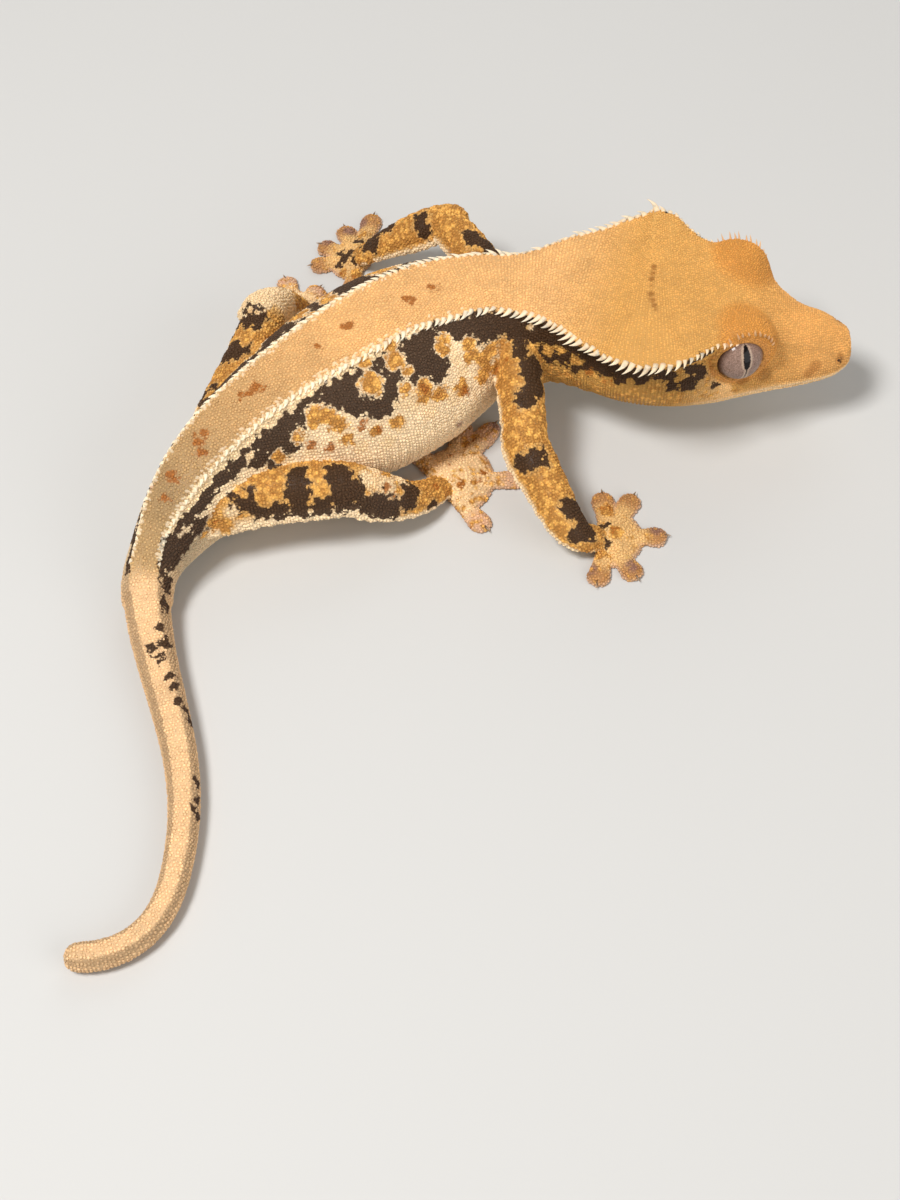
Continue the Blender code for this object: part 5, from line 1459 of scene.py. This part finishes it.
class GECKO_OT_scales(bpy.types.Operator):
    """Covers the skin with small domed scales, region by region"""

    bl_idname = "gecko.scales"
    bl_label = "Scales"

    def execute(self, context):
        global ROOTS
        colours, sizes = context.scene.gecko_colours, context.scene.gecko_sizes
        ROOTS = scale_roots(sizes)
        at, part = ROOTS[0], ROOTS[4]
        fact = facts_at(at)
        along, around = fact[:, 1], fact[:, 2]
        body = part == 0
        regions = {
            "scales_tail": body & (along < 13.4),
            "scales_back_rear": body & (along >= 13.4) & (along < 19) & (around < 3),
            "scales_side_rear": body & (along >= 13.4) & (along < 19) & (around >= 3),
            "scales_back_front": body & (along >= 19) & (along < 24.6) & (around < 3),
            "scales_side_front": body & (along >= 19) & (along < 24.6) & (around >= 3),
            "scales_head_rear": body & (along >= 24.6) & (along < 29) & (around < 2.5),
            "scales_cheeks": body & (along >= 24.6) & (along < 29) & (around >= 2.5),
            "scales_brows": (part == 1) & (along < 29),
            "scales_head_front": (body | (part == 1)) & (along >= 29),
            "scales_left_legs": (part == 2) & (at[:, 1] > 30),
            "scales_right_legs": (part == 2) & (at[:, 1] <= 30),
        }
        for name, mask in regions.items():
            cover(name, mask, colours, PAINTS["scales"])
        return {"FINISHED"}


class GECKO_OT_spines(bpy.types.Operator):
    """Sets the crest's spines, the knobs of the back and the lashes"""

    bl_idname = "gecko.spines"
    bl_label = "Spines and lashes"

    def execute(self, context):
        colours, sizes = context.scene.gecko_colours, context.scene.gecko_sizes
        feet, ways, leans, length, width, pale = spine_rows(sizes)
        teeth("crest_spines", feet, ways, leans, length, width, pale, colours, PAINTS["scales"])
        feet, ways, leans, length, width = lash_rows(sizes)
        teeth("lashes", feet, ways, leans, length, width, np.full(len(feet), 0.35), colours,
              PAINTS["scales"], lean=0.3)
        foot, out, size = knob_rows(sizes)
        level, _ = axes(out)
        teeth("back_knobs", foot, out, level, size * 1.05, size, np.full(len(foot), 0.45), colours,
              PAINTS["scales"], lean=0.15)
        return {"FINISHED"}


class GECKO_OT_eyes(bpy.types.Operator):
    """Makes both eyes with slit pupils"""

    bl_idname = "gecko.eyes"
    bl_label = "Eyes"

    def execute(self, context):
        colours = context.scene.gecko_colours
        look = eye_material(colours)
        for side, way in (("left", 1), ("right", -1)):
            piece("eyeball_" + side, eyeball(way, colours), look, ["eye_" + side])
        return {"FINISHED"}


class GECKO_OT_claws(bpy.types.Operator):
    """Sets a small curved claw on each toe"""

    bl_idname = "gecko.claws"
    bl_label = "Claws"

    def execute(self, context):
        colours = context.scene.gecko_colours
        feet, ways = claw_rows()
        down = np.broadcast_to(np.array((0, 0, -1.0)), feet.shape)
        count = len(feet)
        teeth("claws", feet, ways, down, np.full(count, 0.85), np.full(count, 0.2),
              np.zeros(count), colours, horn_material(colours), lean=0.55)
        return {"FINISHED"}


class GECKO_OT_stage(bpy.types.Operator):
    """Sets the pale floor, the lights and the camera"""

    bl_idname = "gecko.stage"
    bl_label = "Stage"

    def execute(self, context):
        sizes, scene = context.scene.gecko_sizes, context.scene
        mesh = bpy.data.meshes.new("floor")
        half = 1.5
        mesh.from_pydata([(-half, -half, -0.00005), (half, -half, -0.00005), (half, half, -0.00005),
                          (-half, half, -0.00005)], [], [(0, 1, 2, 3)])
        floor = bpy.data.objects.new("floor", mesh)
        scene.collection.objects.link(floor)
        made = bpy.data.materials.new("Pale floor")
        made.use_nodes = True
        shader = made.node_tree.nodes["Principled BSDF"]
        shader.inputs["Base Color"].default_value = (0.58, 0.57, 0.55, 1)
        shader.inputs["Roughness"].default_value = 0.8
        mesh.materials.append(made)
        for name, at, aim, power, size in (
                ("key", (-0.24, -0.16, 0.56), (0, 0.01, 0), 3.7, 0.16),
                ("fill", (0.5, -0.4, 0.3), (0, 0, 0), 2.1, 0.6),
                ("back", (0.15, 0.6, 0.4), (0, 0, 0.01), 0.9, 0.5)):
            painted_shading = bpy.data.lights.new(name, "AREA")
            painted_shading.energy, painted_shading.size = power, size
            lamp = bpy.data.objects.new(name, painted_shading)
            lamp.location = at
            lamp.rotation_euler = (Vector(aim) - Vector(at)).to_track_quat("-Z", "Y").to_euler()
            scene.collection.objects.link(lamp)
        world = bpy.data.worlds.new("Soft room")
        world.use_nodes = True
        world.node_tree.nodes["Background"].inputs["Color"].default_value = (1.0, 0.98, 0.95, 1)
        world.node_tree.nodes["Background"].inputs["Strength"].default_value = 0.30
        scene.world = world
        scene.view_settings.view_transform = "Standard"
        lens = bpy.data.cameras.new("camera")
        lens.lens, lens.sensor_width, lens.sensor_fit = 60, 36, "AUTO"
        lens.clip_start = 0.01
        camera = bpy.data.objects.new("camera", lens)
        look = Vector((0, math.cos(sizes.tilt), -math.sin(sizes.tilt)))
        centre = Vector([-v * METRES for v in MIDDLE])
        camera.location = centre - look * sizes.camera
        camera.rotation_euler = look.to_track_quat("-Z", "Y").to_euler()
        scene.collection.objects.link(camera)
        scene.camera = camera
        return {"FINISHED"}


class GECKO_PT_panel(bpy.types.Panel):
    """Lists the steps and the values they use"""

    bl_idname = "GECKO_PT_panel"
    bl_label = "Crested gecko"
    bl_space_type = "VIEW_3D"
    bl_region_type = "UI"
    bl_category = "Gecko"

    def draw(self, context):
        for kind in STEPS:
            self.layout.operator(kind.bl_idname)
        for group in (context.scene.gecko_sizes, context.scene.gecko_colours):
            box = self.layout.box()
            for name in group.__annotations__:
                box.prop(group, name)


STEPS = (GECKO_OT_skin, GECKO_OT_scales, GECKO_OT_spines, GECKO_OT_eyes, GECKO_OT_claws,
         GECKO_OT_stage)
CLASSES = (GeckoColours, GeckoSizes) + STEPS + (GECKO_PT_panel,)


def register():
    """Registers the classes and the values that the scene keeps."""
    for kind in CLASSES:
        bpy.utils.register_class(kind)
    bpy.types.Scene.gecko_colours = bpy.props.PointerProperty(type=GeckoColours)
    bpy.types.Scene.gecko_sizes = bpy.props.PointerProperty(type=GeckoSizes)


def unregister():
    """Takes them away again."""
    del bpy.types.Scene.gecko_colours
    del bpy.types.Scene.gecko_sizes
    for kind in reversed(CLASSES):
        bpy.utils.unregister_class(kind)


def main():
    """Runs every step in order."""
    register()
    bpy.ops.gecko.skin()
    bpy.ops.gecko.scales()
    bpy.ops.gecko.spines()
    bpy.ops.gecko.eyes()
    bpy.ops.gecko.claws()
    bpy.ops.gecko.stage()


if __name__ == "__main__":
    main()
